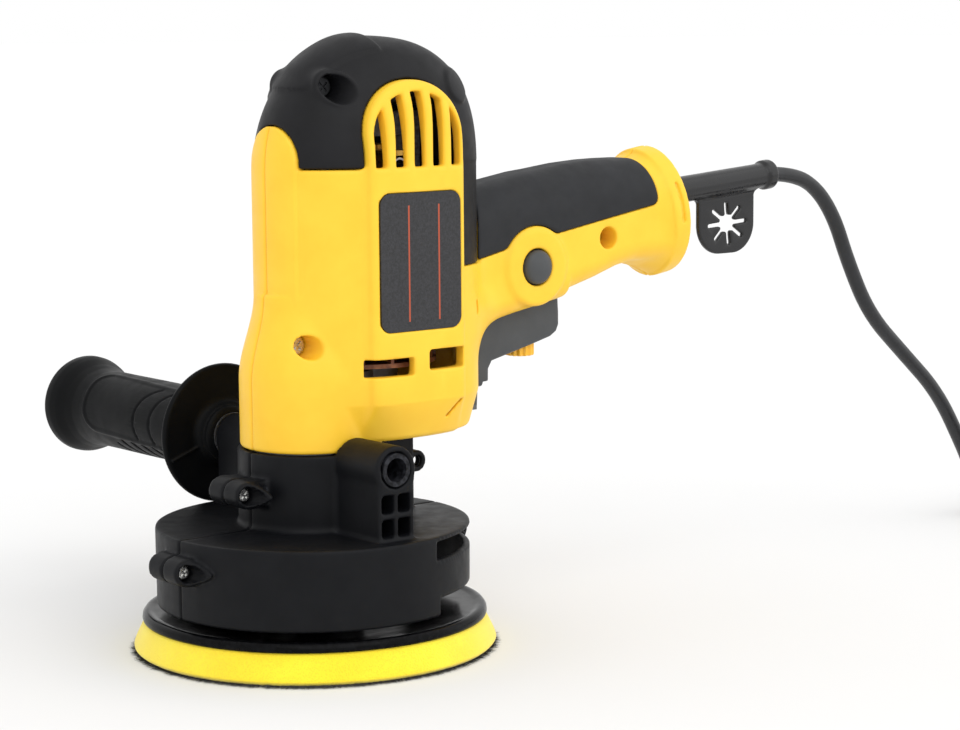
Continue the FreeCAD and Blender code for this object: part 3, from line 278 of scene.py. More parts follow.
def label_material():
    """Black grained label with two thin orange lines along its height."""
    skin = Material("label_black", linear("1A1A1C"), 0.42)
    split = skin.add("SeparateXYZ")
    skin.join(skin.coordinates, split.inputs["Vector"])
    base = skin.ramp(skin.noise(1400.0, 3.0, 0.7), linear("141416"), linear("2E2E32"), 0.35, 0.7)
    low, high = at(0, 0, 114.2).z, at(0, 0, 153.4).z
    inside = skin.combine("COMPARE", split.outputs["Z"], (low + high) / 2, (high - low) / 2)
    half_width = 0.00032
    lines = [skin.combine("COMPARE", split.outputs["X"], at(x, 0, 0).x, half_width)
             for x in (19.2, 31.9)]
    amount = skin.combine("MULTIPLY", skin.combine("ADD", *lines), inside)
    skin.join(skin.mix(amount, base, linear("B04A28")), skin.shader.inputs["Base Color"])
    skin.bump((skin.noise(1800.0, 2.0, 0.7), 0.0001, 0.45))
    return skin.material


MATERIALS = make_materials()


def dress(obj, material, body, slot, *replaced):
    """Give a new piece its material and its body, and hide the nodes it stands for; the slot is
    not used.
    """
    obj.data.materials.clear()
    obj.data.materials.append(MATERIALS[material])
    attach(obj, body)
    if replaced:
        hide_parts(*replaced)
    return obj


# ---------------------------------------------------------------- the lead

LEAD_DIAMETER = 0.0059
LEAD_EXIT = (221.3, 0, 154.4)
COIL_MIDDLE = (408.0, -26.0)
PLUG_AXIS = (-67.0, 7.0)  # its place along Y and its height


def lead_points():
    """The lead's route as in the part's source, then the coil's turns."""
    low = 3.0
    route = [LEAD_EXIT, (235.0, 0, 153.7), (248.0, 0, 147.5), (258.5, 0, 135.0),
             (266.5, 0, 117.0), (279.5, 0, 94.5), (300.5, 0, 76.5), (322.0, -0.5, 58.0),
             (339.0, 0, 33.5), (355.0, 4, 12.5), (374.0, 9.5, low), (391.0, 12.5, low + 0.1)]
    points = [at(*place) for place in route]
    turns, per_turn = 6.55, 14
    wander = random.Random(3)
    # the coil's radius and height at the start of each turn
    layers = [(38.6, low), (33.2, low), (36.0, 8.2), (41.4, 8.0), (30.8, 8.4), (35.8, 13.2),
              (38.2, 13.6), (36.0, 14.0)]
    first_radius, settled = 41.9, 0.5
    start = math.atan2(route[-1][1] - COIL_MIDDLE[1], route[-1][0] - COIL_MIDDLE[0])
    for step in range(2, int(turns * per_turn) + 1):
        along = step / per_turn
        before, after = layers[int(along)], layers[int(along) + 1]
        blend = min(1.0, max(0.0, (along % 1.0 - 0.6) / 0.4))
        radius = before[0] + (after[0] - before[0]) * blend + wander.uniform(-0.35, 0.35)
        height = before[1] + (after[1] - before[1]) * blend
        if along < settled:
            radius = first_radius + (before[0] - first_radius) * along / settled
        points.append(on_circle(COIL_MIDDLE, radius, start - TURN * along, height))
    return points


def make_lead():
    """The lead as a round curve, from the sleeve through its coil and into the plug's boot."""
    points = lead_points()
    end = points[-1]
    heading = (end - points[-2]).normalized()
    plug_mouth = at(COIL_MIDDLE[0] - 18.5, *PLUG_AXIS)
    for share in (0.35, 0.7):
        points.append(end.lerp(plug_mouth, share) + heading * 0.012 * (1 - share))
    points.append(plug_mouth + Vector((0.006, 0, 0.0005)))
    points.append(plug_mouth + Vector((-0.002, 0, 0)))
    curve = bpy.data.curves.new("mains_lead", "CURVE")
    curve.dimensions = "3D"
    curve.bevel_depth = LEAD_DIAMETER / 2
    curve.bevel_resolution = 5
    curve.use_fill_caps = True
    spline = curve.splines.new("NURBS")
    spline.points.add(len(points) - 1)
    for knot, place in zip(spline.points, points):
        knot.co = (*place, 1.0)
    spline.order_u = 3
    spline.use_endpoint_u = True
    spline.resolution_u = 8
    return dress(link("mains_lead_curve", curve), "lead", "housing", "lead_black",
                 "mains_lead", "lead_coil")


lead = make_lead()


# ---------------------------------------------------------------- shapes as signed distances

def union(a, b, blend=0.0):
    """Two shapes as one, with a fillet where a blend is given."""
    if not blend:
        return np.minimum(a, b)
    overlap = np.maximum(blend - np.abs(a - b), 0.0) / blend
    return np.minimum(a, b) - overlap * overlap * blend / 4


def both(a, b, blend=0.0):
    """What two shapes share, with a rounded edge where a blend is given."""
    return -union(-a, -b, blend)


def cut(a, b, blend=0.0):
    """The first shape without the second."""
    return both(a, -b, blend)


def smooth(value, low, high):
    """A soft step from nought at the low value to one at the high value."""
    share = np.clip((value - low) / (high - low), 0.0, 1.0)
    return share * share * (3 - 2 * share)


def between(value, low, high):
    """Distance to the layer in which a value lies between two limits."""
    return np.maximum(low - value, value - high)


def wrapped(angle):
    """An angle brought to within half a turn of nought."""
    return (angle + math.pi) % TURN - math.pi


def rectangle(a, b, half_a, half_b, corner=0.0):
    """Distance to a rounded rectangle in the plane of a and b."""
    qa, qb = np.abs(a) - half_a + corner, np.abs(b) - half_b + corner
    outside = np.hypot(np.maximum(qa, 0), np.maximum(qb, 0))
    return outside + np.minimum(np.maximum(qa, qb), 0) - corner


def polygon(a, b, corners):
    """Distance to a closed outline in the plane of a and b."""
    a, b = np.broadcast_arrays(a, b)
    nearest = np.full(a.shape, 1e9, dtype=np.float32)
    inside = np.zeros(a.shape, dtype=bool)
    for (ax, ay), (bx, by) in zip(corners, corners[1:] + corners[:1]):
        ex, ey = bx - ax, by - ay
        along = np.clip(((a - ax) * ex + (b - ay) * ey) / (ex * ex + ey * ey), 0, 1)
        nearest = np.minimum(nearest, (a - ax - ex * along) ** 2 + (b - ay - ey * along) ** 2)
        if ay != by:
            crossing = (b >= min(ay, by)) & (b < max(ay, by))
            inside ^= crossing & (a < ax + (b - ay) * ex / ey)
    return np.where(inside, -1, 1) * np.sqrt(nearest)


def slot_line(a, b, start, end, half):
    """Distance to a straight slot with round ends in the plane of a and b."""
    ex, ey = end[0] - start[0], end[1] - start[1]
    along = np.clip(((a - start[0]) * ex + (b - start[1]) * ey) / (ex * ex + ey * ey), 0, 1)
    return np.hypot(a - start[0] - ex * along, b - start[1] - ey * along) - half


class Space:
    """A grid of points, in millimetres about the spindle, on which shapes are worked out."""

    def __init__(self, low, high, step):
        self.low, self.step = low, step
        axes = [np.arange(start, stop, step, dtype=np.float32) for start, stop in zip(low, high)]
        self.x, self.y, self.z = np.meshgrid(*axes, indexing="ij", sparse=True)
        self.size = tuple(len(axis) for axis in axes)

    def tube(self, place, radius, axis):
        """An endless cylinder through a place, along Y or Z."""
        across = self.z - place[2] if axis == "y" else self.y - place[1]
        return np.hypot(self.x - place[0], across) - radius

    def piece(self, name, distance, keep):
        """The surface where the distance is nought, thinned to a share of its faces."""
        reach = 3 * self.step
        values = np.clip(np.broadcast_to(distance, self.size), -reach, reach).astype(np.float32)
        grid = openvdb.FloatGrid(reach)
        grid.copyFromArray(np.ascontiguousarray(values))
        places, quads = grid.convertToQuads(isovalue=0.0)
        places = (places * self.step + np.array(self.low) - np.array(CRANK)) / 1000
        mesh = bpy.data.meshes.new(name)
        mesh.vertices.add(len(places))
        mesh.vertices.foreach_set("co", places.astype(np.float32).ravel())
        mesh.loops.add(4 * len(quads))
        mesh.loops.foreach_set("vertex_index", quads[:, ::-1].astype(np.int32).ravel())
        mesh.polygons.add(len(quads))
        mesh.polygons.foreach_set("loop_start", np.arange(0, 4 * len(quads), 4, dtype=np.int32))
        mesh.update(calc_edges=True)
        mesh.shade_smooth()
        obj = link(name, mesh)
        thin = obj.modifiers.new("Thin", "DECIMATE")
        thin.ratio = keep
        bake_modifiers(obj)
        return obj


def bake_modifiers(obj):
    """Replace an object's mesh by what its modifiers make of it."""
    evaluated = obj.evaluated_get(bpy.context.evaluated_depsgraph_get())
    result = bpy.data.meshes.new_from_object(evaluated)
    obj.modifiers.clear()
    obj.data = result
    obj.data.shade_smooth()


# ---------------------------------------------------------------- housing forms

# the places that more than one piece needs, in millimetres about the spindle
BODY_MIDDLE, BODY_HALF = 21.2, 31.0  # the body's middle along X, and its half width
DOME_FOOT, DOME_RISE = 164.0, 46.0
PANEL_MIDDLE, PANEL_SPRING = 24.2, 175.7  # along X, and where the side panel's round top starts
SLOTS_MIDDLE, SLOTS_PITCH = 24.6, 7.8
HANDLE_ORIGIN, TILT = (155.2, 143.1), math.radians(9.1)
SLEEVE_ORIGIN, SLEEVE_SLOPE = (153.0, 148.5), 5.9 / 68.0
LOCK_PLACE = (86.8, 0, 127.4)
DIAL_PLACE = (93, 0, 0)
CAP_TUBES, CAP_TUBE_HEIGHT = (0.0, 47.0), 193.0


def body_form(s, grow=0.0):
    """The egg-shaped motor body with its rounded top."""
    rear = s.x > BODY_MIDDLE
    length, power = np.where(rear, 42.8, 38.2), np.where(rear, 2.5, 2.0)
    ahead, aside = np.abs(s.x - BODY_MIDDLE) / length, np.abs(s.y) / BODY_HALF
    plan = np.maximum((ahead ** power + aside ** power) ** (1 / power), 0.02)
    slope = np.hypot(ahead ** (power - 1) / length, aside ** (power - 1) / BODY_HALF)
    slope = slope * plan ** (1 - power)
    rise = np.maximum(s.z - DOME_FOOT, 0) / DOME_RISE
    bend = 2.0 + 0.6 * smooth(s.x, 5, 40)
    value = (plan ** bend + rise ** bend) ** (1 / bend)
    steepness = np.hypot(plan ** (bend - 1) * slope, rise ** (bend - 1) / DOME_RISE)
    steepness = steepness * value ** (1 - bend)
    return (value - 1) / steepness - grow


def foot_inset(s):
    """How far the body's foot is drawn in by its chamfer."""
    return 3.6 * np.clip((86.7 - s.z) / 12.7, 0, 1)


def arch_plan(s, grow=0.0):
    """The side panel's outline with its round top, endless along Y."""
    return np.hypot(s.x - PANEL_MIDDLE, np.maximum(s.z - PANEL_SPRING, 0)) - 19.5 - grow


def tongue_plan(s, grow=0.0):
    """The front tongue's outline with its round top, endless along X."""
    return np.hypot(s.y, np.maximum(s.z - 167.1, 0)) - 12.9 - grow


def handle_axes(s):
    """Distance along the rear handle from its flange, and height over its axis."""
    dx, dz = s.x - HANDLE_ORIGIN[0], s.z - HANDLE_ORIGIN[1]
    return dx * math.cos(TILT) + dz * math.sin(TILT), dz * math.cos(TILT) - dx * math.sin(TILT)


def handle_form(s, grow=0.0):
    """The handle's barrel: broad crown, tighter underside, waisted towards the flange."""
    along, height = handle_axes(s)
    # place along the handle, and the heights of its top and its underside there
    sections = [(-103, 25.5, -21.5), (-90, 26.5, -21.0), (-78, 26.8, -20.5), (-60, 26.9, -20.2),
                (-55.0, 26.6, -20.0), (-53.6, 26.5, -17.7), (-40, 26.0, -16.3),
                (-28, 24.9, -14.4), (-20, 23.8, -14.2), (-12, 22.5, -15.5), (-4, 21.0, -17.0),
                (6, 19.5, -18.0)]
    stations, tops, lows = zip(*sections)
    top, low = np.interp(along, stations, tops), np.interp(along, stations, lows)
    half = np.interp(along, [-40, -20, 6], [17, 17.3, 17.9])
    middle, tall = (top + low) / 2, (top - low) / 2
    crown = height > middle
    corner = np.where(crown, 0.82, 0.5) * half
    return rectangle(s.y, height - middle, half + grow, tall + grow, corner + grow)


def flange_oval(s):
    """Distance from the handle's axis, wider across than along its height."""
    return np.hypot(s.y * 1.2, handle_axes(s)[1])


def grip_area(s):
    """Where the soft skin covers the handle, as a side view endless along Y."""
    along, height = handle_axes(s)
    lower = np.interp(along, [-100, -83, -60, -9], [3.4, 4.4, 5.0, 5.6])
    area = both(lower - height, along + 8.6, 3.0)
    return cut(area, s.tube(LOCK_PLACE, 14.8, "y"), 1.5)


def cap_band(s):
    """Where the cap's skin runs down behind the side panels."""
    return np.maximum(np.abs(s.x - 57.0) - 13.0, np.abs(s.z - 149.6) - 18.4)


# ---------------------------------------------------------------- motor housing

def housing_outside(s):
    """Body, gear bulge, tongue, side panels, handle and flange, as one blended shape."""
    inset = foot_inset(s)
    trunk = both(body_form(s) + inset, between(s.z, 74, 165.8), 1.2)
    bulge = np.hypot(s.x, s.y) - (24.5 - 5.6 * smooth(s.z, 94, 123))
    bulge = both(bulge, between(s.z, 70.8, 124), 1.6)
    outer = union(trunk, bulge, 0.8)
    tongue = both(body_form(s, 0.6), tongue_plan(s))
    tongue = both(tongue, np.maximum(s.x + 4, 112 - s.z))
    outer = union(outer, tongue)
    panel = both(arch_plan(s), np.abs(s.y) - 31.7 + 1.4 * inset, 2.2)
    panel = both(panel, np.maximum(body_form(s, 2.6) + 2.2 * inset, 74 - s.z), 1.2)
    outer = union(outer, panel, 2.6)
    along, _ = handle_axes(s)
    barrel = both(handle_form(s), between(along, -103, 2))
    fillet = smooth(s.z, 114, 124)  # wide under the handle, narrow over it
    outer = (1 - fillet) * union(outer, barrel, 13.0) + fillet * union(outer, barrel, 5.0)
    land = both(s.tube(LOCK_PLACE, 14.2, "y"), np.abs(s.y) - 18.3, 2.2)
    outer = union(outer, land, 1.5)
    oval = flange_oval(s)
    flare = oval - np.interp(along, [-26, -18, -10, -3.5, 5], [13.5, 15.5, 19.0, 23.4, 24.0])
    outer = union(outer, both(flare, between(along, -26, 4.4), 1.0), 2.5)
    return union(outer, both(oval - 24.5, between(along, -3.5, 4.5), 1.2), 0.3)


def housing_room(s):
    """The hollow for the motor and the gear case, and the one in the handle."""
    room = both(body_form(s, -2.8) + foot_inset(s), 76.8 - s.z)
    bulge_room = np.hypot(s.x, s.y) - (21.7 - 5.6 * smooth(s.z, 94, 123))
    room = union(room, np.maximum(bulge_room, s.z - 119))
    along, _ = handle_axes(s)
    return union(room, both(handle_form(s, -2.8), between(along, -100, 0.5)))


def cut_openings(s, shell):
    """Vents, the label's recess, the trigger's opening and the lock button's hole."""
    beside_motor = 17.0 - np.abs(s.y)
    reach = np.hypot(s.x - SLOTS_MIDDLE, np.maximum(s.z - PANEL_SPRING, 0) * 1.14) - 17.7
    for index in range(-2, 3):
        gap = np.abs(s.x - SLOTS_MIDDLE - SLOTS_PITCH * index) - 2.15
        slot = np.maximum(np.maximum(gap, 166.2 - s.z), np.maximum(reach, beside_motor))
        shell = cut(shell, slot, 1.6)
    for low_x, high_x, low_z, high_z in ((3.0, 20.8, 96.0, 102.0), (27.4, 43.0, 97.0, 104.0)):
        vent = rectangle(s.x - (low_x + high_x) / 2, s.z - (low_z + high_z) / 2,
                         (high_x - low_x) / 2, (high_z - low_z) / 2, 0.8)
        shell = cut(shell, np.maximum(vent, beside_motor), 0.5)
    label = rectangle(s.x - 24.3, s.z - 134.3, 17.05, 23.45, 4.1)
    shell = cut(shell, np.maximum(label, 30.5 - np.abs(s.y)), 0.5)
    opening = rectangle(s.x - 84.9, s.z - 106, 21.3, 18, 1.0)
    shell = cut(shell, np.maximum(opening, np.abs(s.y) - 8.8), 0.6)
    return cut(shell, np.maximum(s.tube(LOCK_PLACE, 6.7, "y"), s.y + 10), 0.8)


def cut_seats(s, shell):
    """Where the handle's soft skin and the cap's band lie on the housing."""
    clearance = 0.15
    along, _ = handle_axes(s)
    skin = np.maximum(grip_area(s), -handle_form(s, -1.6))
    shell = cut(shell, np.maximum(skin, -100 - along) - clearance)
    band = np.maximum(cap_band(s), -body_form(s, -1.5))
    return cut(shell, np.maximum(band, -handle_form(s, 0.3)) - clearance)


def add_screw_bosses(s, shell, outer):
    """The two visible housing screws' bosses, with a wide pocket and a thread hole."""
    for x, height, seat, length in ((-12.4, 106.7, -8.0, 18.0), (121.6, 135.8, -7.0, 16.0)):
        place = (x, 0, height)
        boss = np.maximum(s.tube(place, 4.9, "y"), s.y - seat - length - 3)
        shell = union(shell, np.maximum(boss, outer + 0.5))
        shell = cut(shell, np.maximum(s.tube(place, 4.0, "y"), s.y - seat), 0.7)
        shell = cut(shell, np.maximum(s.tube(place, 1.75, "y"), s.y - seat - length - 1))
    return shell


def cut_details(s, shell):
    """Two mould marks, the flange's fold, the sleeve's hole and the gear case's room."""
    near = s.y + 20
    for start, end, half, blend in (((36.8, 80.2), (41.6, 85.6), 0.5, 0.4),
                                    ((54.6, 113.8), (54.8, 118.2), 0.45, 0.3)):
        shell = cut(shell, np.maximum(slot_line(s.x, s.z, start, end, half), near), blend)
    along, height = handle_axes(s)
    fold = np.maximum(np.abs(along - 1.0) - 0.7, 22.9 - flange_oval(s))
    fold = np.maximum(fold, np.abs(height - 4) - 7.5)
    shell = cut(shell, np.maximum(fold, s.y), 0.3)
    over_sleeve = (s.z - SLEEVE_ORIGIN[1]) - (s.x - SLEEVE_ORIGIN[0]) * SLEEVE_SLOPE
    shell = cut(shell, np.maximum(np.hypot(s.y, over_sleeve) - 5.4, -0.5 - along), 0.3)
    gear_room = union(np.hypot(s.x, s.y) - 21.7, np.hypot(s.x - 21, s.y) - 13.3)
    shell = cut(shell, np.maximum(gear_room, s.z - 97))
    link_room = np.maximum(np.abs(s.y) - 11.3, np.abs(s.x - 10.5) - 10.5)
    return cut(shell, np.maximum(link_room, s.z - 97))


def make_housing():
    s = Space((-26, -35.5, 67), (164, 35.5, 200), 0.6)
    outer = housing_outside(s)
    shell = cut(outer, housing_room(s))
    shell = cut_openings(s, shell)
    shell = cut_seats(s, shell)
    shell = add_screw_bosses(s, shell, outer)
    shell = cut_details(s, shell)
    for side, name in ((1, "left"), (-1, "right")):
        half = both(shell, 0.04 - side * s.y, 0.7)
        piece = s.piece(f"housing_{name}_shell", half, 0.3)
        dress(piece, "yellow", "housing", "housing_yellow", f"housing_{name}")


# ---------------------------------------------------------------- cap, grip and controls

def make_cap():
    """The dome with its front ridge, two screw tubes and the band behind the panels."""
    s = Space((-22, -34, 129), (68, 34, 212), 0.5)
    outer = body_form(s)
    ridge = np.abs(s.y) - np.interp(s.x, [-20, 2, 20], [7.0, 13.0, 17.0])
    ridge = both(ridge, np.maximum(s.x - 20, 192 - s.z), 2.0)
    outer = union(outer, both(body_form(s, 1.0), ridge, 1.2), 0.5)
    for x in CAP_TUBES:
        tube = s.tube((x, 0, CAP_TUBE_HEIGHT), 6.1, "y")
        lobe = both(tube, np.abs(s.y) - 14.0, 2.0)
        collar = both(tube, body_form(s, 1.0), 1.2)
        outer = union(outer, union(lobe, collar, 0.5), 1.0)
    shell = both(outer, 166.1 - s.z, 1.0)
    shell = cut(shell, np.maximum(body_form(s, -2.8), 165 - s.z))
    for x in CAP_TUBES:
        from_axis = s.tube((x, 0, CAP_TUBE_HEIGHT), 0.0, "y")
        boss = np.maximum(from_axis - 7.4, np.abs(s.y) - 25)
        shell = union(shell, np.maximum(boss, body_form(s)))
        # the front tube is open on both sides, the rear one only on the far side
        bore_end, outwards = (-8.5, s.y) if x else (-60.0, np.abs(s.y))
        shell = cut(shell, np.maximum(from_axis - 1.9, bore_end - s.y))
        pocket = from_axis - 4.1 - 0.25 * np.maximum(np.abs(s.y) - 14, 0)
        shell = cut(shell, np.maximum(pocket, 8 - outwards), 0.8)
    band = np.maximum(cap_band(s), np.maximum(outer, -body_form(s, -1.4)))
    band = np.maximum(band, -handle_form(s, 0.5))
    shell = union(shell, both(band, outer, 0.6))
    edge = np.maximum(arch_plan(s, 0.3), np.maximum(12 - np.abs(s.y), s.x - 60))
    shell = cut(shell, edge, 0.8)
    shell = cut(shell, np.maximum(tongue_plan(s, 0.3), s.x + 2), 0.8)
    dress(s.piece("top_cap_shell", shell, 0.4), "cap", "housing", "charcoal_plastic", "top_cap")


def make_grip():
    """The soft skin over the handle's crown."""
    s = Space((52, -19.5, 120), (152, 19.5, 172), 0.5)
    skin = both(handle_form(s, 0.45), grip_area(s), 0.9)
    skin = cut(skin, handle_form(s, -1.5))
    skin = cut(skin, body_form(s, 0.35), 0.8)
    dress(s.piece("handle_grip_skin", skin, 0.4), "grip", "housing", "soft_grip", "handle_grip")


def make_trigger():
    """A hollow paddle with a tail down the housing's back, and the dial's well in its foot."""
    s = Space((64, -9.5, 83), (107, 9.5, 128), 0.35)
    outline = [(66.0, 117.5), (66.0, 84.8), (72.6, 84.8), (72.7, 91.0), (74.3, 93.6),
               (78.6, 94.6), (93.9, 98.2), (101.8, 100.2), (104.6, 101.9), (105.8, 104.4),
               (105.8, 109.0), (105.3, 117.5)]
    trigger = both(polygon(s.x, s.z, outline), np.abs(s.y) - 8.0, 2.2)
    hollow = rectangle(s.x - 88, s.z - 113.5, 14.5, 6.5, 1.0)
    trigger = cut(trigger, np.maximum(hollow, np.abs(s.y) - 6.2))
    trigger = both(trigger, s.z - 117.3)
    stem = np.maximum(s.tube((80, 0, 0), 3.0, "z"), between(s.z, 105, 127))
    trigger = union(trigger, stem)
    trigger = cut(trigger, np.maximum(s.tube(DIAL_PLACE, 5.55, "z"), s.z - 101.0), 0.5)
    trigger = cut(trigger, np.maximum(s.tube(DIAL_PLACE, 1.6, "z"), s.z - 104))
    step = np.maximum(np.abs(s.y) - 8.5, np.maximum(s.z - 86.6, 69.6 - s.x))
    trigger = cut(trigger, step, 0.5)
    dress(s.piece("trigger_shell", trigger, 0.5), "control", "trigger", "control_plastic",
          "trigger")


def make_dial():
    """The ribbed speed dial with a dish in its face and a stem."""
    s = Space((86.5, -6.5, 92.5), (99.5, 6.5, 104.5), 0.16)
    ribs = np.cos(14 * np.arctan2(s.y, s.x - DIAL_PLACE[0])) * 0.32
    dial = both(s.tube(DIAL_PLACE, 5.05, "z") - ribs, between(s.z, 93.6, 99.4), 0.7)
    dial = cut(dial, np.maximum(s.tube(DIAL_PLACE, 3.2, "z"), s.z - 94.1), 0.4)
    stem = np.maximum(s.tube(DIAL_PLACE, 1.5, "z"), between(s.z, 98, 103.6))
    dial = union(dial, stem)
    dress(s.piece("speed_dial_knob", dial, 0.5), "dial", "speed_dial", "dial_orange",
          "speed_dial")


def make_lock_button():
    """A round button with a domed face and a collar that holds it in the wall."""
    s = Space((78.5, -22, 119), (95, -11.5, 136), 0.25)
    radial = s.tube(LOCK_PLACE, 0.0, "y")
    face = -s.y - (20.9 - 0.045 * radial * radial)
    button = both(radial - 6.2, face, 1.6)
    button = both(button, s.y + 12.6)
    button = union(button, both(radial - 7.4, between(s.y, -14.0, -12.6), 0.3))
    dress(s.piece("lock_button_shell", button, 0.5), "control", "lock_button", "control_plastic",
          "lock_button")


# ---------------------------------------------------------------- shroud

INSERT_AXIS = (0, 0, 68)
EYELET = (44.1, 0, 60)
# the clamp ears' places along X, their heights and the radius of the wall they stand on
EARS = ((-56.6, 34.6, 54.0), (-32.2, 57.6, 25.5), (56.6, 34.6, 54.0))
EAR_HALF, EAR_RADIUS = 9.0, 4.6


def clamp_ear(s, x, height, wall):
    """A screw barrel along Y, its web to the wall, and a fairing at each end."""
    side = np.abs(s.y)
    barrel = both(s.tube((x, 0, height), EAR_RADIUS, "y"), side - EAR_HALF, 0.8)
    middle = math.copysign((abs(x) + wall - 1.5) / 2, x)
    web = rectangle(s.x - middle, s.z - height, (abs(x) - wall + 1.5) / 2, EAR_RADIUS, 0.5)
    web = both(web, side - EAR_HALF, 0.8)
    lean = np.clip((side - EAR_HALF) / 9.0, 0, 1)
    tip_x = x + math.copysign(1.0, -x) * (1.8 + 2.0 * lean)
    fairing = np.hypot(s.x - tip_x, s.z - height) - (EAR_RADIUS - 0.4) * (1 - lean) ** 0.7
    fairing = np.maximum(fairing, between(side, EAR_HALF - 1, EAR_HALF + 9))
    return union(union(barrel, web, 0.8), fairing, 1.0)


def shroud_outside(s):
    """Skirt, neck, handle blocks, clamp ears, and the rear post with its eyelet."""
    radial, side = np.hypot(s.x, s.y), np.abs(s.y)
    skirt = both(radial - 54 - 0.15 * smooth(s.z, 17, 44), between(s.z, 16.8, 44.1), 1.0)
    neck = np.maximum(radial - 25.5, between(s.z, 43, 70.4))
    solid = union(skirt, neck, 2.6)
    block = both(rectangle(s.x, s.z - 55, 7.3, 13, 0.8), side - 48.7, 0.8)
    crown = both(s.tube(INSERT_AXIS, 8.0, "y"), side - 48.7, 0.9)
    solid = union(solid, union(block, crown, 0.8), 1.6)
    for x, height, wall in EARS:
        solid = union(solid, clamp_ear(s, x, height, wall), 1.2)
    eyelet = union(s.tube(EYELET, 3.9, "y"), rectangle(s.x - 34.1, s.z - 60, 10.0, 3.9, 0.5))
    post = rectangle(s.x - 32.6, s.z - 58.4, 8.6, 15.3, 1.0)
    post = union(both(post, side - 4.0, 0.8), both(eyelet, side - 2.2, 0.6), 0.6)
    return union(solid, post, 0.8)


def make_shroud():
    s = Space((-65, -63, 16), (65, 63, 78), 0.75)
    radial, side = np.hypot(s.x, s.y), np.abs(s.y)
    solid = shroud_outside(s)
    # the pad's room, the spindle's bore and the housing's seat
    solid = cut(solid, both(radial - 51.2, between(s.z, 10, 41.3), 1.0))
    solid = cut(solid, radial - 21.55)
    solid = cut(solid, np.maximum(radial - 25.3, 70.4 - s.z))
    # the handle blocks' holes for the threaded inserts, and their pockets
    solid = cut(solid, np.maximum(s.tube(INSERT_AXIS, 5.62, "y"), 32.7 - side))
    solid = cut(solid, np.maximum(s.tube(INSERT_AXIS, 6.3, "y"), 47.9 - side), 0.4)
    for column in (-3.3, 3.3):
        for low, high in ((45.5, 51.5), (53.6, 59.6)):
            pocket = rectangle(s.x - column, s.z - (low + high) / 2, 2.45, (high - low) / 2, 0.6)
            solid = cut(solid, np.maximum(pocket, 36 - side), 0.5)
    # the skirt's openings, given by their heights and their angles in degrees
    angle = np.degrees(np.arctan2(side, s.x))
    for low, high, first, last in ((36.2, 42.4, 15, 75), (16.2, 23.0, 18, 73)):
        gap = np.maximum(between(s.z, low, high), between(angle, first, last) * 0.9)
        solid = cut(solid, np.maximum(gap, 51.0 - radial), 0.5)
    for x, height, _ in EARS:
        place = (x, 0, height)
        solid = cut(solid, s.tube(place, 1.9, "y"))
        seat = np.maximum(s.tube(place, EAR_RADIUS - 1.6, "y"), EAR_HALF - 4.5 - side)
        solid = cut(solid, seat, 0.4)
    solid = cut(solid, s.tube(EYELET, 1.9, "y"), 0.3)
    for sign, name in ((1, "left"), (-1, "right")):
        half = both(solid, 0.06 - sign * s.y, 0.35)
        dress(s.piece(f"shroud_{name}_shell", half, 0.4), "charcoal", "housing",
              "charcoal_plastic", f"shroud_{name}")


# ---------------------------------------------------------------- sleeve, side handle and plug

def make_sleeve():
    """Strain relief with its collar, and the tab with the star-shaped key slot."""
    s = Space((148.5, -9, 122), (224, 9, 163), 0.4)
    dx, dz = s.x - SLEEVE_ORIGIN[0], s.z - SLEEVE_ORIGIN[1]
    along = (dx + dz * SLEEVE_SLOPE) / math.hypot(1, SLEEVE_SLOPE)
    across = (dz - dx * SLEEVE_SLOPE) / math.hypot(1, SLEEVE_SLOPE)
    off_axis = np.hypot(s.y, across)
    radius = 5.2 - 0.4 * along / 68
    sleeve = both(off_axis - radius, between(along, -3, 68.2), 0.8)
    collar = both(off_axis - 5.8, np.abs(along - 66) - 2.3, 1.0)
    anchor = both(off_axis - 8.0, np.abs(along + 1.5) - 1.5, 0.5)
    solid = union(union(sleeve, collar, 1.2), anchor, 0.5)
    tab = both(rectangle(s.x - 197.0, s.z - 144.5, 15.0, 20.0, 11.5),
               np.maximum(np.abs(s.y) - 1.0, across), 0.7)
    solid = union(solid, tab, 2.2)
    star_x, star_z = (s.x - 197.6) / 1.25, s.z - 136.2
    star = np.hypot(star_x, star_z) - 3.3
    points, reach = 8, 7.6
    for index in range(points):
        angle = TURN * (index + 0.11) / points
        tip = (reach * math.cos(angle), reach * math.sin(angle))
        star = union(star, slot_line(star_x, star_z, (0, 0), tip, 0.75), 0.6)
    solid = cut(solid, star, 0.4)
    solid = cut(solid, off_axis - 2.97)
    dress(s.piece("strain_relief_sleeve", solid, 0.5), "sleeve", "housing", "lead_black",
          "strain_relief")


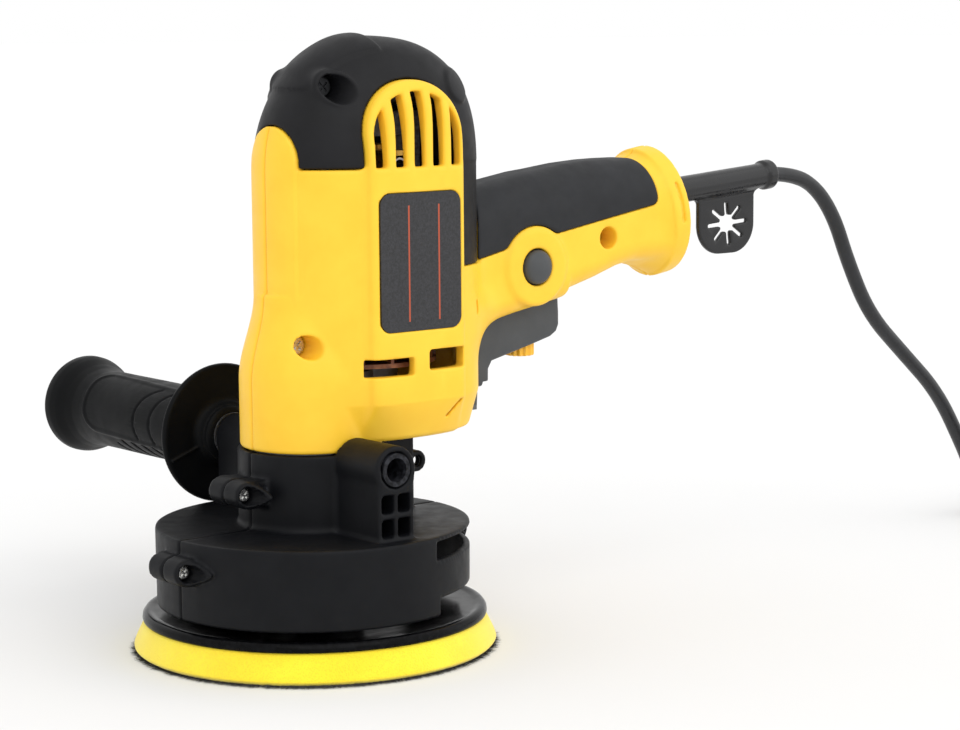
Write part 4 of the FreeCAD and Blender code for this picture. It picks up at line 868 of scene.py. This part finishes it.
def make_side_grip():
    """Side handle: guard flange with ribs, oval finger panel, oblique ribs, flared end."""
    s = Space((-27, 48.5, 41), (27, 157.5, 95), 0.55)
    dz = s.z - INSERT_AXIS[2]
    radial = np.hypot(s.x, dz)
    # place along Y, and the radius there
    profile = [(49.7, 9.5), (51.0, 10.5), (55.3, 11.5), (60.5, 13.6), (66, 14.0), (80, 14.3),
               (100, 14.4), (122, 14.4), (134, 14.5), (139, 15.0), (143, 16.1), (147, 17.7),
               (150, 18.5), (153, 18.6), (156, 17.6)]
    surface = np.interp(s.y, *zip(*profile))
    core = both(radial - surface, between(s.y, 49.7, 156), 2.4)
    flange = both(radial - 25.2, np.abs(s.y - 56.7) - 1.4, 1.6)
    solid = union(core, flange, 3.0)
    turn = np.arctan2(dz, s.x)
    from_spoke = turn - math.radians(20)
    spoke = np.abs(np.sin(from_spoke)) * radial
    spoke = np.maximum(spoke - 0.35, radial * np.cos(from_spoke))
    spoke = both(spoke, np.maximum(np.abs(s.y - 54.9) - 0.6, np.abs(radial - 17.9) - 5.8))
    solid = union(solid, spoke, 0.4)
    barrel = 14.6
    for facing in (163, -17):
        swing = wrapped(turn - math.radians(facing))
        around = swing * barrel
        panel = rectangle(around + 1.3 + 0.05 * (s.y - 100), s.y - 100.5, 12.8, 30.5, 8.0)
        lip = both(np.abs(panel) - 0.6, radial - surface - 0.35, 0.4)
        solid = union(solid, lip, 1.0)
        in_panel = np.maximum(panel + 1.5, surface - 0.5 - radial)
        for middle in (79, 68):
            arc = np.abs(np.hypot(around - 3, s.y - middle) - 16) - 0.35
            solid = cut(solid, np.maximum(arc, in_panel), 0.5)
        beside = wrapped(swing - math.radians(70))
        pitch = 7.3
        slant = beside * barrel * 0.9 + s.y
        ribs = np.abs((slant + pitch / 2) % pitch - pitch / 2) - 0.6
        ribs = np.maximum(ribs, rectangle(beside * barrel, s.y - 86, 5.2, 26, 3.0))
        solid = cut(solid, np.maximum(ribs, 13.3 - radial), 0.5)
    rings = np.abs((s.y + 0.6) % 3.0 - 1.5) - 0.2
    solid = cut(solid, np.maximum(np.maximum(rings, s.y - 54.6), 10.2 - radial), 0.3)
    solid = cut(solid, np.maximum(radial - 3.9, s.y - 85.2))
    solid = cut(solid, np.hypot(radial, s.y - 190) - 36.5, 0.8)
    dress(s.piece("side_handle_shell", solid, 0.45), "handle", "side_handle", "charcoal_plastic",
          "side_handle_grip")


def make_plug():
    """The plug's moulded body with its ribbed boot, beside the coil."""
    s = Space((337, -77.5, -1), (392, -56.5, 15), 0.4)
    x, (y, z) = COIL_MIDDLE[0], PLUG_AXIS
    off_axis = np.hypot(s.y - y, s.z - z)
    waist = 1.2 * np.exp(-((s.x - (x - 46)) / 5.0) ** 2)
    body = rectangle(s.y - y, s.z - z, 8.8, 6.8, 4.0) + waist
    body = both(body, np.abs(s.x - (x - 51)) - 17, 2.0)
    ribs = 0.35 * np.cos((s.x - x) * 2.0)
    boot = off_axis - np.interp(s.x, [x - 36, x - 18], [5.4, 3.7]) - ribs
    boot = both(boot, between(s.x, x - 36, x - 18.2), 0.6)
    solid = union(body, boot, 1.5)
    solid = cut(solid, np.maximum(off_axis - 2.95, x - 24 - s.x))
    return dress(s.piece("plug_body_shell", solid, 0.5), "sleeve", "housing", "plug_black",
                 "plug_body")


# ---------------------------------------------------------------- the pad

def turned(name, outline, steps, middle, wobble=None):
    """A closed outline of (radius, height) turned about a vertical axis, in millimetres."""
    work = bmesh.new()
    rings = []
    for index in range(steps):
        angle = TURN * index / steps
        ring = []
        for radius, height in outline:
            if wobble:
                radius, height = wobble(radius, height, angle)
            ring.append(work.verts.new(on_circle(middle, radius, angle, height)))
        rings.append(ring)
    for first, second in zip(rings, rings[1:] + rings[:1]):
        for order in range(len(outline) - 1):
            work.faces.new((first[order], second[order], second[order + 1], first[order + 1]))
    work.faces.new([ring[0] for ring in rings][::-1])
    work.faces.new([ring[-1] for ring in rings])
    for face in work.faces:
        face.smooth = len(face.verts) < 5
    return finished(name, work)


def finished(name, work):
    """A new object from a mesh under work, with its faces turned outwards."""
    bmesh.ops.recalc_face_normals(work, faces=work.faces)
    mesh = bpy.data.meshes.new(name)
    work.to_mesh(mesh)
    work.free()
    return link(name, mesh)


def make_pad():
    """Foam disc, backing plate and hook pile, about the crank's axis."""
    middle = (CRANK.x, CRANK.y)
    waves = [(rng.uniform(0, 6.28), rng.uniform(0.02, 0.07), n) for n in (2, 3, 5, 9, 16)]

    def soft(radius, height, angle):
        """A slightly uneven rim."""
        if radius < 50:
            return radius, height
        swell = sum(size * math.sin(count * angle + phase) for phase, size, count in waves)
        return radius + swell, height + 0.3 * swell

    top = 11.68
    profile = [(0.5, 1.6), (59.8, 1.6), (60.4, 0.6)]
    profile += [(61.4 + 1.5 * math.sin(step * math.pi / 14), 0.35 + 1.65 * step / 7)
                for step in range(8)]
    profile += [(62.9 - 4.0 * (step / 9) ** 1.15, 2.0 + 8.5 * step / 9) for step in range(1, 10)]
    profile += [(57.8, top), (40.0, top), (0.5, top)]
    foam = turned("foam_disc", profile, 360, middle, soft)
    dress(foam, "foam", "pad", "foam_yellow", "foam_pad")
    rim = [(8.05, 11.72), (58.0, 11.72), (59.1, 10.8), (59.6, 10.7), (59.8, 11.4), (59.6, 12.7),
           (58.9, 13.6), (57.8, 13.95), (56.8, 13.8), (56.0, 13.4), (55.0, 13.2), (48.0, 13.4),
           (40.0, 13.9), (32.0, 14.6), (26.0, 15.4), (22.5, 16.9), (20.0, 19.0), (18.6, 20.4),
           (17.2, 20.95), (10.0, 21.0), (8.05, 21.0)]
    plate = turned("backing_plate_disc", rim, 180, middle)
    dress(plate, "plate", "pad", "plate_black", "backing_plate")
    make_hooks(middle)


def make_hooks(middle):
    """The pile: a ragged thin disc, and short hooks that stand out round its rim."""
    work = bmesh.new()
    steps, hooks = 720, 5200
    low_ring, rim_ring, top_ring = [], [], []
    for index in range(steps):
        angle = TURN * index / steps
        ragged = 60.2 + rng.uniform(-0.4, 0.4)
        for ring, radius, height in ((low_ring, ragged - 0.7, 0.0),
                                     (rim_ring, ragged, rng.uniform(0.2, 0.5)),
                                     (top_ring, 59.7, 1.5)):
            ring.append(work.verts.new(on_circle(middle, radius, angle, height)))
    for index in range(steps):
        after = (index + 1) % steps
        for lower, upper in ((low_ring, rim_ring), (rim_ring, top_ring)):
            work.faces.new((lower[index], lower[after], upper[after], upper[index]))
    work.faces.new(low_ring[::-1])
    work.faces.new(top_ring)
    for _ in range(hooks):
        angle = rng.uniform(0, TURN)
        lean = angle + rng.uniform(-0.5, 0.5)
        root = Vector((middle[0] + 60.0 * math.cos(angle), middle[1] + 60.0 * math.sin(angle),
                       rng.uniform(0.1, 0.6)))
        reach = 2.2 + 3.2 * rng.random() ** 2
        out = Vector((math.cos(lean), math.sin(lean), rng.uniform(-0.3, 0.08)))
        tip = root + out.normalized() * reach
        tip.z = max(tip.z, 0.05)
        aside = Vector((-math.sin(angle), math.cos(angle), 0)) * rng.uniform(0.16, 0.3)
        lift = Vector((0, 0, 0.2))
        base = [work.verts.new(at(*(root + shift))) for shift in (aside, lift, -aside)]
        end = work.verts.new(at(*tip))
        for first, second in zip(base, base[1:] + base[:1]):
            work.faces.new((first, second, end))
        work.faces.new(base[::-1])
    dress(finished("hook_pile", work), "hooks", "pad", "hook_black", "hook_face")


make_housing()
make_cap()
make_grip()
make_trigger()
make_dial()
make_lock_button()
make_shroud()
make_sleeve()
make_side_grip()
make_pad()
plug = make_plug()


# ---------------------------------------------------------------- carried-over nodes

# the material of every piece that keeps its shape from the design
LOOKS = {
    "weight": ["eccentric_hub", "cap_screws"],
    "screw": ["cord_clamp_screws", "housing_screws", "shroud_screws"],
    "steel": ["bearing_clip", "bearing_retainer", "brush_springs", "gear_key",
              "lower_motor_bearing", "lower_spindle_bearing", "pad_bearing", "pad_shaft",
              "pinion", "plate_hub_nut", "side_handle_stud", "side_handle_washer",
              "spindle_gear", "spindle_shaft", "armature_shaft", "upper_motor_bearing",
              "upper_spindle_bearing"],
    "charcoal": ["thread_inserts"],
    "cast": ["gear_case", "bearing_plate"],
    "brass": ["brush_holders", "commutator", "plug_pins"],
    "copper": ["armature_windings", "field_coils"],
    "laminated": ["armature_core", "stator_core"],
    "fan": ["capacitor", "cooling_fan"],
    "control": ["brush_bridge", "coil_tie", "cord_clamp", "switch_body", "tail_guide"],
    "hooks": ["carbon_brushes"],
    "lead": ["cord_in_handle"],
    "label": ["label_plates"],
}
for look, names in LOOKS.items():
    for name in names:
        slots = NODES[name].data.materials
        slots.clear()
        slots.append(MATERIALS[look])


# ---------------------------------------------------------------- stage and light

def make_stage():
    """A pale floor just below the pad, and white light from all round."""
    mesh = bpy.data.meshes.new("floor")
    size, level = 40.0, -0.0003
    corners = [(-size, -size, level), (size, -size, level), (size, size, level),
               (-size, size, level)]
    mesh.from_pydata(corners, [], [(0, 1, 2, 3)])
    floor = link("floor", mesh)
    skin = Material("pale_floor", (0.8, 0.8, 0.8), 0.9, Specular_IOR_Level=0.0)
    skin.tint(skin.noise(3.0, 3.0), (0.83, 0.83, 0.83), (0.85, 0.85, 0.85))
    mesh.materials.append(skin.material)
    world = bpy.data.worlds.new("World")
    bpy.context.scene.world = world
    world.use_nodes = True
    background = world.node_tree.nodes["Background"]
    background.inputs["Color"].default_value = (1.0, 1.0, 1.0, 1.0)
    background.inputs["Strength"].default_value = 1.0


def add_light(name, place, strength, softness):
    """A soft distant lamp that shines from a place towards the origin."""
    lamp = bpy.data.lights.new(name, "SUN")
    lamp.energy = strength
    lamp.angle = math.radians(softness)
    obj = link(name, lamp)
    obj.rotation_euler = (-Vector(place)).to_track_quat("-Z", "Y").to_euler()


make_stage()
add_light("key", (-0.5, -1.3, 1.3), 0.65, 60)
add_light("fill", (1.1, -1.2, 0.8), 0.55, 80)
bpy.context.scene.view_settings.view_transform = "Standard"
